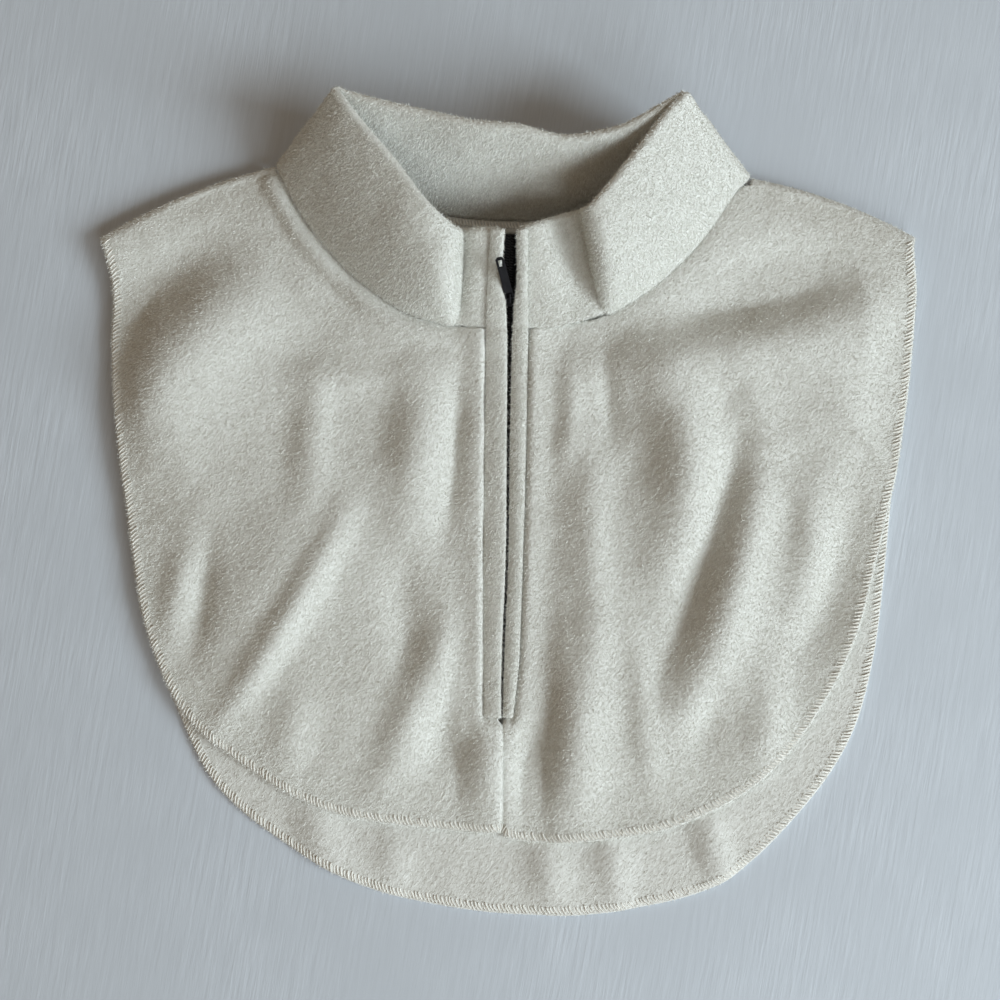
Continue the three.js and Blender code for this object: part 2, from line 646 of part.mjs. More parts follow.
function lipGeometry(side) {
  const width = side < 0 ? 'left' : 'right';
  const edges = (zip) => [side * zip.opening, side * (zip.opening + zip[width])];
  const levels = (share) => {
    const low = halfCloth(share) + pieceGap;
    return [low, low + lipWall];
  };
  return stripGeometry(0, 1, edges, levels);
}

function tapeTop(share) {
  return -halfCloth(share) - pieceGap - cornerEase * bell(share - seamStation, seamFade / 2 / zipLength);
}

function tapeGeometry(side) {
  const edges = (zip) => {
    const inner = Math.max(zip.opening - tapeInset, pieceGap / 2);
    return [side * inner, side * (inner + tapeWidth)];
  };
  const levels = (share) => [tapeTop(share) - tapeWall, tapeTop(share)];
  return stripGeometry(0, 1, edges, levels);
}

function coilGeometry() {
  const edges = () => [-coilWidth / 2, coilWidth / 2];
  const levels = (share) => {
    const low = tapeTop(share) + pieceGap;
    return [low, low + coilHeight];
  };
  return stripGeometry(coilStart, coilEnd, edges, levels);
}

// Plan outline in the slider's own plane, extruded to its height
function extruded(shape, depth) {
  return new THREE.ExtrudeGeometry(shape, { depth, bevelEnabled: false, curveSegments: 4 });
}

function outline(points) {
  return new THREE.Shape(points.map(([x, y]) => new THREE.Vector2(x, y)));
}

const bridgeBase = sliderHeight / 2;
const hingeLevel = bridgeBase + hingeRoom + hingeBar / 2;
const bridgeTop = hingeLevel + hingeBar / 2 + hingeRoom + bridgeWall;
const bridgeHalf = hingeBar / 2 + hingeRoom + bridgeWall + bridgeSlack;
const bridgeReach = Math.hypot(bridgeHalf, bridgeTop - hingeLevel);

function manifoldOf(geometry) {
  const bare = geometry.clone();
  bare.deleteAttribute('normal');
  bare.deleteAttribute('uv');
  const merged = mergeVertices(bare, 1e-4);
  return new wasm.Manifold(new wasm.Mesh({
    numProp: 3,
    vertProperties: merged.attributes.position.array,
    triVerts: new Uint32Array(merged.index.array),
  }));
}

function geometryOf(solid) {
  const { vertProperties, triVerts } = solid.getMesh();
  const geometry = new THREE.BufferGeometry();
  geometry.setAttribute('position', new THREE.BufferAttribute(vertProperties, 3));
  geometry.setIndex(new THREE.BufferAttribute(triVerts, 1));
  geometry.computeVertexNormals();
  return geometry;
}

// The bridge that holds the pull's bar: a staple in side view, rooted in the slider
function bridgeGeometry() {
  const inner = bridgeHalf - bridgeWall;
  const ceiling = bridgeTop - bridgeWall;
  const side = outline([
    [-bridgeHalf, 0], [-inner, 0], [-inner, ceiling], [inner, ceiling],
    [inner, 0], [bridgeHalf, 0], [bridgeHalf, bridgeTop], [-bridgeHalf, bridgeTop],
  ]);
  const sideways = new THREE.Matrix4().makeBasis(
    new THREE.Vector3(0, 1, 0), new THREE.Vector3(0, 0, 1), new THREE.Vector3(1, 0, 0));
  return extruded(side, bridgeWidth).translate(0, 0, -bridgeWidth / 2).applyMatrix4(sideways);
}

function sliderGeometry() {
  const w = sliderWidth / 2;
  const l = sliderLength / 2;
  const nose = w * sliderNose;
  const tail = w * sliderTail;
  const shoulder = l * sliderShoulder;
  const plan = outline([
    [-nose, -l], [nose, -l], [w, shoulder], [tail, l], [-tail, l], [-w, shoulder],
  ]);
  const body = extruded(plan, sliderHeight).translate(0, 0, -sliderHeight / 2);
  return geometryOf(manifoldOf(body).add(manifoldOf(bridgeGeometry())));
}

// The pull: a flat tab, with a window for the bridge at one end and a slot at the other
function pullGeometry() {
  const half = pullWidth / 2;
  const foot = -hingeBar / 2;
  const tip = foot + pullLength;
  const tab = outline([
    [-half, foot], [half, foot], [half, tip - half / 2], [half / 2, tip],
    [-half / 2, tip], [-half, tip - half / 2],
  ]);
  const skewRoom = Math.sin(degToRad(pullSkew)) * bridgeHalf;
  const windowHalf = bridgeWidth / 2 + skewRoom + pieceGap;
  const windowTop = bridgeReach + pieceGap;
  tab.holes.push(outline([
    [-windowHalf, -foot], [windowHalf, -foot], [windowHalf, windowTop], [-windowHalf, windowTop],
  ]));
  tab.holes.push(outline([
    [-half * slotShare, tip - slotLength - pullMargin], [half * slotShare, tip - slotLength - pullMargin],
    [half * slotShare, tip - pullMargin], [-half * slotShare, tip - pullMargin],
  ]));
  return extruded(tab, pullWall).translate(0, 0, -pullWall / 2);
}

// The seam tape lies on the back panel, just below the back of the neck seam
function seamTapeGeometry() {
  const turns = steps(seamTapeFrom, 1 - seamTapeFrom, 40);
  const first = collarWall / 2 + pieceGap;
  return loopSolid(turns.map((turn) => {
    const { span } = rayPoint(backEdge, backLength, turn, 0);
    const at = (distance, level) => {
      const reach = distance / span;
      const { normal } = surfaceFrame(backPoint, turn, reach, 0.004, 0.004);
      const lift = fleece / 2 + pieceGap + level;
      return backPoint(turn, reach).addScaledVector(normal, lift);
    };
    const middle = first + seamTapeWidth / 2;
    const last = first + seamTapeWidth;
    return [
      at(first, seamTapeWall * seamTapeEdge), at(middle, seamTapeWall),
      at(last, seamTapeWall * seamTapeEdge),
      at(last, 0), at(middle, 0), at(first, 0),
    ];
  }));
}

const ivoryFleece = { color: 0xe9e6d6, roughness: 0.95, metalness: 0 };
const blackTape = { color: 0x17171a, roughness: 0.8, metalness: 0 };
const blackNylon = { color: 0x0d0d0f, roughness: 0.45, metalness: 0 };
const blackEnamel = { color: 0x101012, roughness: 0.35, metalness: 0.6 };
const paleTape = { color: 0xe2dcc6, roughness: 0.9, metalness: 0 };

function piece(name, geometry, finish) {
  const mesh = new THREE.Mesh(geometry, new THREE.MeshStandardMaterial(finish));
  mesh.name = name;
  return mesh;
}

const dickey = new THREE.Group();
dickey.add(
  piece('front_left_panel', frontGeometry(leftFrontEdge, -1), ivoryFleece),
  piece('front_right_panel', frontGeometry(rightFrontEdge, 1), ivoryFleece),
  piece('back_panel', backGeometry(), ivoryFleece),
  piece('collar', collarGeometry(), ivoryFleece),
  piece('neck_seam_tape', seamTapeGeometry(), paleTape),
  piece('zip_lip_left', lipGeometry(-1), ivoryFleece),
  piece('zip_lip_right', lipGeometry(1), ivoryFleece),
  piece('zip_tape_left', tapeGeometry(-1), blackTape),
  piece('zip_tape_right', tapeGeometry(1), blackTape),
  piece('zip_coil', coilGeometry(), blackNylon),
);

// The slider stands on the zip's path; its pull turns on the bar under the bridge
const sliderSeat = new THREE.Group();
const sliderNormal = pathNormal(sliderStation);
const sliderAcross = new THREE.Vector3(1, 0, 0);
sliderSeat.quaternion.setFromRotationMatrix(new THREE.Matrix4().makeBasis(
  sliderAcross, sliderNormal.clone().cross(sliderAcross), sliderNormal));
sliderSeat.position.copy(pathPoint(sliderStation));
sliderSeat.position.x = zipAt(sliderStation).centre;
sliderSeat.add(piece('zip_slider', sliderGeometry(), blackEnamel));
const pull = piece('zip_pull', pullGeometry(), blackEnamel);
pull.position.z = hingeLevel;
pull.rotation.set(degToRad(pullLift), 0, degToRad(pullSkew), 'ZXY');
sliderSeat.add(pull);
dickey.add(sliderSeat);

// The origin is the bottom centre of the whole: it rests on z = 0
dickey.updateMatrixWorld(true);
const extent = new THREE.Box3().setFromObject(dickey, true);
const middle = extent.getCenter(new THREE.Vector3());
const object = new THREE.Group();
dickey.position.set(-middle.x, -middle.y, -extent.min.z);
object.add(dickey);

export default object;
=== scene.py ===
"""Looks of a cream fleece turtleneck dickey with a half zip, lying front up.

The cloth's surfaces follow the same collar sections and panel edges as the part's source,
at a finer step. Their folds are more and deeper than the part's. Lengths are in metres,
and the origin is the part's own.
"""
import math

import bmesh
import bpy
import numpy as np
from bpy.props import FloatProperty, FloatVectorProperty, IntProperty, PointerProperty
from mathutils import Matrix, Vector


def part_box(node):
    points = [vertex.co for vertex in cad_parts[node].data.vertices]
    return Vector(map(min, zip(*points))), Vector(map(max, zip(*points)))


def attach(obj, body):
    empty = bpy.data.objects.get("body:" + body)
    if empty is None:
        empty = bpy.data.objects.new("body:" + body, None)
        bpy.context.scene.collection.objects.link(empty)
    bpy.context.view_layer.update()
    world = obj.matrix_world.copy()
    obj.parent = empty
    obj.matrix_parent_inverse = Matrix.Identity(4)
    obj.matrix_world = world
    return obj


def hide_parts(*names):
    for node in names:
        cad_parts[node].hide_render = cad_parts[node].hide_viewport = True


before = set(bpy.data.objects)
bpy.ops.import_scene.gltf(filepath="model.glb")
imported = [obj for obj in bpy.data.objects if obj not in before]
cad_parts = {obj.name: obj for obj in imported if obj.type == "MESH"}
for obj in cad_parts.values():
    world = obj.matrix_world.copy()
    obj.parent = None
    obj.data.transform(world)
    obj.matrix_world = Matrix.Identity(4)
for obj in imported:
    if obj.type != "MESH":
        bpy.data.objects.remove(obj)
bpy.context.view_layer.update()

bl_info = {
    "name": "Fleece Dickey",
    "version": (1, 0, 0),
    "blender": (4, 5, 0),
    "location": "View3D > Sidebar > Dickey",
    "description": "Builds a fleece turtleneck dickey with a half zip",
    "category": "Add Mesh",
}

BODY = "dickey"
MM = 0.001

# The collar's sections round the neck, from the left end at the zip round the back.
# Shares: x of the neck's half width, y of its depth, z of the collar's stand.
COLLAR_COLUMNS = ("seam_x", "seam_y", "seam_z", "top_x", "top_y", "top_z", "swell")
COLLAR_SECTIONS = [
    (-0.04, -0.99, 0.27, -0.04, -0.41, 0.67, 0),
    (-0.15, -0.99, 0.27, -0.13, -0.405, 0.665, 0),
    (-0.22, -0.975, 0.27, -0.2, -0.405, 0.6, -0.3),
    (-0.28, -0.955, 0.27, -0.245, -0.395, 0.78, 1.4),
    (-0.47, -0.86, 0.27, -0.345, -0.265, 0.95, 1),
    (-0.68, -0.63, 0.24, -0.48, -0.02, 1, 0.6),
    (-0.86, -0.33, 0.22, -0.6, 0.19, 0.98, 0.3),
    (-0.97, -0.05, 0.2, -0.67, 0.33, 0.96, 0.2),
    (-1, 0.07, 0.13, -0.7, 0.4, 0.93, 0),
    (-0.92, 0.04, 0.08, -0.65, 0.38, 0.91, 0),
    (-0.61, -0.11, 0.08, -0.44, 0.3, 0.93, 0.2),
    (-0.3, -0.22, 0.08, -0.18, 0.2, 0.98, 0.3),
    (0.01, -0.26, 0.08, 0.04, 0.17, 0.98, 0.2),
    (0.3, -0.24, 0.08, 0.23, 0.11, 0.93, -0.2),
    (0.63, -0.18, 0.08, 0.45, 0.17, 0.96, 0),
    (0.96, -0.07, 0.08, 0.64, 0.31, 0.98, 0.1),
    (1.05, -0.01, 0.13, 0.72, 0.37, 0.98, 0),
    (0.98, -0.12, 0.2, 0.66, 0.27, 1.02, 0.2),
    (0.83, -0.43, 0.22, 0.54, 0.05, 1.04, 0.4),
    (0.64, -0.7, 0.24, 0.41, -0.19, 1.03, 0.6),
    (0.46, -0.87, 0.24, 0.33, -0.31, 0.97, 1),
    (0.42, -0.895, 0.24, 0.305, -0.3, 0.7, -0.1),
    (0.34, -0.94, 0.26, 0.235, -0.31, 0.58, -0.3),
    (0.2, -0.99, 0.27, 0.13, -0.37, 0.69, 0),
    (0.05, -0.99, 0.27, 0.05, -0.4, 0.675, 0),
]

# Panel edges: the collar section that a ray leaves, and where it ends, as shares of the
# half width and of the length below the shoulder corner.
EDGE_COLUMNS = ("neck", "x", "down")
LEFT_FRONT_EDGE = [
    (8, -0.991, 0), (7.6, -0.964, 0.084), (7.1, -0.967, 0.194), (6.5, -0.951, 0.337),
    (5.9, -0.927, 0.469), (5.2, -0.885, 0.65), (4.5, -0.797, 0.793), (3.8, -0.658, 0.88),
    (2.9, -0.472, 0.955), (1.6, -0.247, 0.996), (0, -0.02, 1),
]
RIGHT_FRONT_EDGE = [
    (16, 0.991, 0), (16.5, 0.995, 0.12), (17.1, 0.966, 0.32), (17.7, 0.919, 0.474),
    (18.5, 0.853, 0.655), (19.2, 0.77, 0.782), (20, 0.648, 0.893), (21, 0.477, 0.971),
    (22.4, 0.232, 1.017), (24, -0.018, 1),
]
BACK_EDGE = [
    (8, -0.991, 0), (8.5, -0.961, 0.075), (8.7, -0.962, 0.17), (8.85, -0.946, 0.295),
    (9, -0.922, 0.411), (9.25, -0.88, 0.57), (9.6, -0.806, 0.703), (9.95, -0.713, 0.809),
    (10.5, -0.547, 0.893), (11.1, -0.35, 0.957), (11.7, -0.13, 0.989), (12.3, 0.08, 1),
    (12.9, 0.278, 0.993), (13.5, 0.521, 0.953), (14, 0.713, 0.849), (14.4, 0.838, 0.74),
    (14.75, 0.897, 0.619), (15, 0.927, 0.473), (15.15, 0.945, 0.347), (15.3, 0.965, 0.235),
    (15.5, 0.989, 0.11), (16, 0.991, 0),
]

# Folds of the front and of the back's hem: ridges and valleys that bend through three points.
# A row gives the three points as across and down, then the fold's width and its height.
# Shares: across and width of the half width, down of the front's length, and height of the
# fold height, below zero for a valley.
FRONT_FOLDS = [
    (-0.94, 0.235, -0.87, 0.167, -0.68, 0.099, 0.092, -0.56),
    (-0.94, 0.417, -0.76, 0.266, -0.53, 0.167, 0.116, 0.81),
    (-0.56, 0.303, -0.38, 0.308, -0.2, 0.288, 0.048, 0.23),
    (-0.46, 0.311, -0.47, 0.387, -0.48, 0.485, 0.044, 0.28),
    (-0.19, 0.266, -0.21, 0.387, -0.25, 0.538, 0.068, 0.5),
    (-0.11, 0.311, -0.12, 0.417, -0.15, 0.553, 0.036, -0.31),
    (-0.77, 0.553, -0.81, 0.643, -0.85, 0.727, 0.039, 0.25),
    (-0.72, 0.538, -0.74, 0.643, -0.77, 0.719, 0.034, -0.23),
    (-0.39, 0.507, -0.53, 0.674, -0.72, 0.847, 0.036, 0.38),
    (-0.43, 0.492, -0.58, 0.643, -0.66, 0.795, 0.109, 0.31),
    (-0.26, 0.583, -0.25, 0.674, -0.23, 0.764, 0.048, -0.23),
    (-0.14, 0.674, -0.22, 0.795, -0.32, 0.946, 0.053, 0.38),
    (-0.5, 0.779, -0.53, 0.847, -0.55, 0.915, 0.053, 0.28),
    (-0.06, 0.719, -0.05, 0.855, -0.04, 0.991, 0.058, 0.5),
    (-0.14, 0.779, -0.15, 0.885, -0.16, 0.991, 0.048, -0.31),
    (0.32, 0.195, 0.56, 0.172, 0.85, 0.133, 0.087, -0.9),
    (0.13, 0.269, 0.46, 0.269, 0.83, 0.235, 0.092, 0.6),
    (0.15, 0.273, 0.15, 0.356, 0.13, 0.432, 0.031, 0.19),
    (0.23, 0.266, 0.24, 0.326, 0.25, 0.387, 0.029, -0.23),
    (0.31, 0.281, 0.43, 0.402, 0.38, 0.583, 0.075, 0.8),
    (0.6, 0.429, 0.56, 0.583, 0.44, 0.802, 0.062, 0.62),
    (0.56, 0.402, 0.48, 0.575, 0.37, 0.764, 0.042, -0.3),
    (0.93, 0.477, 0.88, 0.643, 0.76, 0.832, 0.063, 0.44),
    (0.85, 0.477, 0.8, 0.628, 0.69, 0.764, 0.048, -0.25),
    (0.81, 0.361, 0.87, 0.402, 0.92, 0.441, 0.017, 0.12),
    (0.64, 0.764, 0.63, 0.855, 0.6, 0.93, 0.053, 0.38),
    (0.5, 0.779, 0.48, 0.855, 0.46, 0.938, 0.044, -0.25),
    (0.19, 0.704, 0.17, 0.855, 0.17, 0.994, 0.068, 0.56),
    (0.1, 0.779, 0.07, 0.9, 0.06, 0.994, 0.041, -0.38),
    (0.2, 0.402, 0.2, 0.553, 0.21, 0.719, 0.044, 0.25),
    (0.3, 0.674, 0.33, 0.825, 0.36, 0.961, 0.031, 0.15),
    (0.56, 0.319, 0.59, 0.349, 0.62, 0.402, 0.048, 0.19),
    (0.72, 0.477, 0.73, 0.553, 0.71, 0.643, 0.044, 0.25),
]
BACK_FOLDS = [
    (-0.48, 0.952, -0.46, 1.006, -0.42, 1.06, 0.049, 0.28),
    (-0.29, 1.006, -0.28, 1.047, -0.26, 1.09, 0.034, 0.15),
    (0.09, 1.006, 0.1, 1.06, 0.11, 1.113, 0.044, 0.25),
    (0.25, 1.006, 0.26, 1.06, 0.28, 1.113, 0.039, 0.25),
    (0.48, 0.96, 0.5, 1.021, 0.53, 1.083, 0.039, 0.31),
]

# The zip's line down the front: shares of the zip's length, drift, mouth and welt width
ZIP_COLUMNS = ("at", "centre", "opening", "left", "right")
ZIP_STATIONS = [
    (0, 0.37, 0.56, 0.65, 0.52),
    (0.047, 0.23, 0.66, 0.66, 0.52),
    (0.08, 0.1, 0.76, 0.62, 0.52),
    (0.11, 0.13, 0.67, 0.7, 0.56),
    (0.134, 0.27, 0.42, 0.92, 0.67),
    (0.214, 0.22, 0.25, 1.02, 0.78),
    (0.434, 0.02, 0.17, 1.06, 0.79),
    (0.666, -0.18, 0.15, 1.06, 0.71),
    (0.884, -0.85, 0.15, 0.86, 0.72),
    (1, -1, 0.1, 0.84, 0.49),
]
HEIGHT_COLUMNS = ("at", "rise")
CENTRE_HEIGHTS = [
    (0, 1), (0.1, 0.8), (0.3, 0.68), (0.55, 0.66), (0.77, 0.56), (0.9, 0.42), (1, 0.33),
]


def table(columns, rows):
    return dict(zip(columns, np.array(rows, float).T))


COLLAR = table(COLLAR_COLUMNS, COLLAR_SECTIONS)
LEFT_EDGE = table(EDGE_COLUMNS, LEFT_FRONT_EDGE)
RIGHT_EDGE = table(EDGE_COLUMNS, RIGHT_FRONT_EDGE)
BACK_RIM = table(EDGE_COLUMNS, BACK_EDGE)
ZIP = table(ZIP_COLUMNS, ZIP_STATIONS)
CENTRE = table(HEIGHT_COLUMNS, CENTRE_HEIGHTS)
LAST_SECTION = len(COLLAR_SECTIONS) - 1
LEFT_CORNER = 8
RIGHT_CORNER = 16
CORNER_PRESS = 0.06
CORNER_REACH = 1.9


def length(name, value_mm, description):
    return FloatProperty(name=name, description=description, default=value_mm * MM,
                         unit="LENGTH", subtype="DISTANCE")


class DickeySizes(bpy.types.PropertyGroup):
    """Driving sizes: the part's own, but for a greater fold height and a smaller seam setback"""
    half_width: length("Half width", 203, "Centre line to the widest point of a side edge")
    front_length: length("Front length", 325, "Shoulder level to the front's hem")
    back_length: length("Back length", 367, "Shoulder level to the back's hem")
    shoulder_drop: length("Shoulder drop", 31, "Neck point down to the shoulder corner")
    shoulder_bow: length("Shoulder bow", 3.5, "Crown of the shoulder line")
    neck_half_width: length("Neck half width", 112, "Centre line to the neck point")
    neck_depth: length("Neck depth", 76, "Neck point down to the front of the seam")
    collar_stand: length("Collar stand", 45, "Height of the collar's top edge")
    collar_swell: length("Collar swell", 6, "Bulge of the collar's softest fold")
    fleece: length("Fleece", 2.2, "Thickness of one layer")
    collar_wall: length("Collar wall", 4.8, "Thickness of the doubled collar")
    lip_wall: length("Welt wall", 1.6, "Thickness of a zip welt")
    seam_setback: length("Seam setback", 1.5, "Panel edge back from the neck seam line")
    piece_gap: length("Piece gap", 0.35, "Clearance between neighbouring pieces")
    hem_gap: length("Hem gap", 0.5, "Clearance between the two hems")
    fold_radius: length("Fold radius", 3.2, "Roll of the cloth at the shoulder")
    air_under_front: length("Air", 6, "How far the front stands off the back")
    fold_height: length("Fold height", 12.5, "Highest fold of the front")
    front_neck_rise: length("Front neck rise", 12, "Height of the front of the neck seam")
    back_neck_rise: length("Back neck rise", 3.5, "Height of the back of the neck seam")
    zip_length: length("Zip length", 236, "Opening in plan, collar edge to box end")
    zip_mouth: length("Zip mouth", 5, "Half of the widest opening between the welts")
    zip_drift: length("Zip drift", 3, "Sideways wander of the zip's line")
    lip_width: length("Welt width", 10, "Visible width of a welt")
    lip_cover: length("Welt cover", 2.2, "How far a welt reaches past the panel's edge")
    tape_width: length("Tape width", 9, "Width of one zip tape")
    coil_pitch: length("Coil pitch", 1.25, "Distance from one coil turn to the next")


class DickeyFinish(bpy.types.PropertyGroup):
    """Colours and detail of the finish"""
    fleece_colour: FloatVectorProperty(name="Fleece", description="Ivory fleece", size=3,
                                       subtype="COLOR", default=(0.74, 0.755, 0.73))
    # The fleece shade is painted shade in the nap's hollows, and also the darker end of the
    # fleece's random tone
    fleece_shade: FloatVectorProperty(name="Fleece shade", description="Deeper tone of the nap",
                                      size=3, subtype="COLOR", default=(0.54, 0.54, 0.505))
    thread_colour: FloatVectorProperty(name="Thread", description="Overlock thread", size=3,
                                       subtype="COLOR", default=(0.88, 0.87, 0.82))
    zip_colour: FloatVectorProperty(name="Zip", description="Black zip", size=3,
                                    subtype="COLOR", default=(0.006, 0.006, 0.007))
    floor_colour: FloatVectorProperty(name="Floor", description="Pale board", size=3,
                                      subtype="COLOR", default=(0.55, 0.6, 0.66))
    pile_length: length("Pile length", 1.3, "Length of a fibre of the nap")
    stitch_pitch: length("Stitch pitch", 1.9, "Distance from one overlock stitch to the next")
    stitch_width: length("Stitch width", 3.6, "How far an overlock stitch reaches in")
    seed: IntProperty(name="Seed", description="Seed of every random draw", default=7)


def sizes():
    return bpy.context.scene.dickey_sizes


def finish():
    return bpy.context.scene.dickey_finish


# Number tools


def smooth(low, high, value):
    t = np.clip((value - low) / (high - low), 0, 1)
    return t * t * (3 - 2 * t)


def bell(distance, width):
    return np.exp(-((distance / width) ** 2))


def lerp(a, b, t):
    return a + (b - a) * t


def column(rows, key, row):
    """Catmull-Rom through one column of a table, at fractional row numbers"""
    values = rows[key]
    last = len(values) - 1
    i = np.clip(np.floor(row).astype(int), 0, last - 1)
    t = row - i
    padded = np.concatenate([[2 * values[0] - values[1]], values, [2 * values[-1] - values[-2]]])
    before, here, there, after = (padded[i + k] for k in range(4))
    slope_in = (there - before) / 2
    slope_out = (after - here) / 2
    t2 = t * t
    t3 = t2 * t
    return ((2 * t3 - 3 * t2 + 1) * here + (t3 - 2 * t2 + t) * slope_in
            + (3 * t2 - 2 * t3) * there + (t3 - t2) * slope_out)


def row_at(rows, share):
    return np.interp(share, rows["at"], np.arange(len(rows["at"])))


def vector(x, y, z):
    return np.stack(np.broadcast_arrays(x, y, z), axis=-1)


def unit(v):
    return v / np.maximum(np.linalg.norm(v, axis=-1, keepdims=True), 1e-12)


# The zip's line


def collar_top_y():
    return COLLAR["top_y"][0] * sizes().neck_depth


def neck_front_y():
    return COLLAR["seam_y"][0] * sizes().neck_depth


def zip_end_y():
    return collar_top_y() - sizes().zip_length


def zip_share(y):
    return np.clip((collar_top_y() - y) / sizes().zip_length, 0, 1)


def zip_at(share):
    size = sizes()
    row = row_at(ZIP, share)
    return {
        "centre": column(ZIP, "centre", row) * size.zip_drift,
        "opening": column(ZIP, "opening", row) * size.zip_mouth,
        "left": column(ZIP, "left", row) * size.lip_width,
        "right": column(ZIP, "right", row) * size.lip_width,
    }


# Length over which the front edges close in below the zip
JOG = 4 * MM


def centre_edge(y, side):
    """Where a front edge runs beside the zip, and meets the other in the seam below it"""
    size = sizes()
    spot = zip_at(zip_share(y))
    opened = spot["opening"] + size.lip_cover
    end = zip_end_y()
    closed = smooth(0, JOG, end - y)
    return spot["centre"] + side * lerp(opened, size.piece_gap / 2, closed)


# The collar's middle surface


def collar_line(line, section):
    """Points of the collar's lower or upper line, which the table calls seam and top"""
    size = sizes()
    row = np.clip(section, 0, LAST_SECTION)
    return vector(column(COLLAR, line + "_x", row) * size.neck_half_width,
                  column(COLLAR, line + "_y", row) * size.neck_depth,
                  column(COLLAR, line + "_z", row) * size.collar_stand)


def neck_seam(section):
    return collar_line("seam", section)


def collar_top(section):
    return collar_line("top", section)


def collar_point(section, height):
    size = sizes()
    seam = neck_seam(section)
    rise = collar_top(section) - seam
    step = neck_seam(section + 0.05) - neck_seam(section - 0.05)
    outward = unit(np.cross(rise, step))
    swell = column(COLLAR, "swell", np.clip(section, 0, LAST_SECTION)) * size.collar_swell
    h = height[..., None]
    point = seam + rise * h + outward * (swell * 4 * height * (1 - height))[..., None]
    left = section < LAST_SECTION / 2
    end = np.where(left, 0.0, float(LAST_SECTION))
    end_x = lerp(neck_seam(end)[..., 0], collar_top(end)[..., 0], height)
    hold = 1 - smooth(0, 1, np.minimum(section, LAST_SECTION - section))
    edge_x = centre_edge(point[..., 1], np.where(left, -1, 1))
    point[..., 0] += hold * (edge_x - end_x)
    return point


def surface_normals(points):
    """Normals of a grid of points, from its own rows and columns"""
    across = np.gradient(points, axis=0)
    along = np.gradient(points, axis=1)
    return unit(np.cross(along, across))


# The panels' middle surfaces


# How the folds are stepped, soften and end, and where a panel blends into the neck, the
# zip's line and the shoulder
FOLD_STEPS = 6
FOLD_END = 0.35
NECK_BLEND = 26 * MM
BACK_NECK_BLEND = 12 * MM
ZIP_FLAT = 14 * MM
ZIP_FLAT_FADE = 18 * MM
ZIP_END_FADE = 24 * MM
FOLD_SOFTNESS = 1.5 * MM
AIR_FADE = 0.68
HEM_FOLDS = 0.6
SHOULDER_TURN = 0.14
BACK_SHOULDER_TURN = 0.08
CORNER_SETBACK = 1.5 * MM
CORNER_TURN = 0.06
NECK_INSET = 0.35
EDGE_INSET = 0.1
CLOSE_TURN = 0.82
ZIP_TURN = (0.5, 0.8)
HEM_FADE = 0.8


def centre_height(y):
    size = sizes()
    share = np.clip((neck_front_y() - y) / (neck_front_y() + size.front_length), 0, 1)
    return column(CENTRE, "rise", row_at(CENTRE, share)) * size.front_neck_rise


def folds_at(rows, x, y):
    """Height of all folds: each is a bell across its bent line, and lower at the line's ends"""
    size = sizes()
    total = np.zeros_like(x)
    for x1, down1, x2, down2, x3, down3, width, height in rows:
        ends = np.array([[x1, down1], [x2, down2], [x3, down3]])
        first, middle, last = ends * (size.half_width, -size.front_length)
        t = np.linspace(0, 1, FOLD_STEPS + 1)[:, None]
        bend = 2 * middle - (first + last) / 2
        line = first * (1 - t) ** 2 + bend * 2 * t * (1 - t) + last * t ** 2
        nearest = np.full_like(x, np.inf)
        along = np.zeros_like(x)
        for k in range(FOLD_STEPS):
            run = line[k + 1] - line[k]
            dx = x - line[k, 0]
            dy = y - line[k, 1]
            step = np.clip((dx * run[0] + dy * run[1]) / run.dot(run), 0, 1)
            distance = np.hypot(dx - run[0] * step, dy - run[1] * step)
            closer = distance < nearest
            nearest = np.where(closer, distance, nearest)
            along = np.where(closer, (k + step) / FOLD_STEPS, along)
        taper = lerp(FOLD_END, 1, np.sin(math.pi * along))
        total += bell(nearest, width * size.half_width) * taper * height * size.fold_height
    return total


def shoulder_top():
    size = sizes()
    return size.fleece / 2 + 2 * size.fold_radius


def front_height(x, y, turn, reach, neck_z, span):
    size = sizes()
    rest = size.fleece + size.hem_gap + size.fleece / 2
    air = size.air_under_front * (1 - smooth(AIR_FADE, 1, reach))
    folds = folds_at(FRONT_FOLDS, x, y) * lerp(1, HEM_FOLDS, smooth(HEM_FADE, 1, reach))
    lift = air + folds
    z = rest + (lift + np.hypot(lift, FOLD_SOFTNESS)) / 2
    z = lerp(z, neck_z, bell(reach * span, NECK_BLEND))
    z = lerp(z, shoulder_top(), 1 - smooth(0, SHOULDER_TURN, turn))
    from_zip = np.abs(x - zip_at(zip_share(y))["centre"])
    beside_zip = 1 - smooth(ZIP_FLAT, ZIP_FLAT + ZIP_FLAT_FADE, from_zip)
    past_zip = smooth(0, ZIP_END_FADE, zip_end_y() - y)
    line_height = np.maximum(centre_height(y) + past_zip * folds, rest)
    return lerp(z, line_height, beside_zip * smooth(*ZIP_TURN, turn))


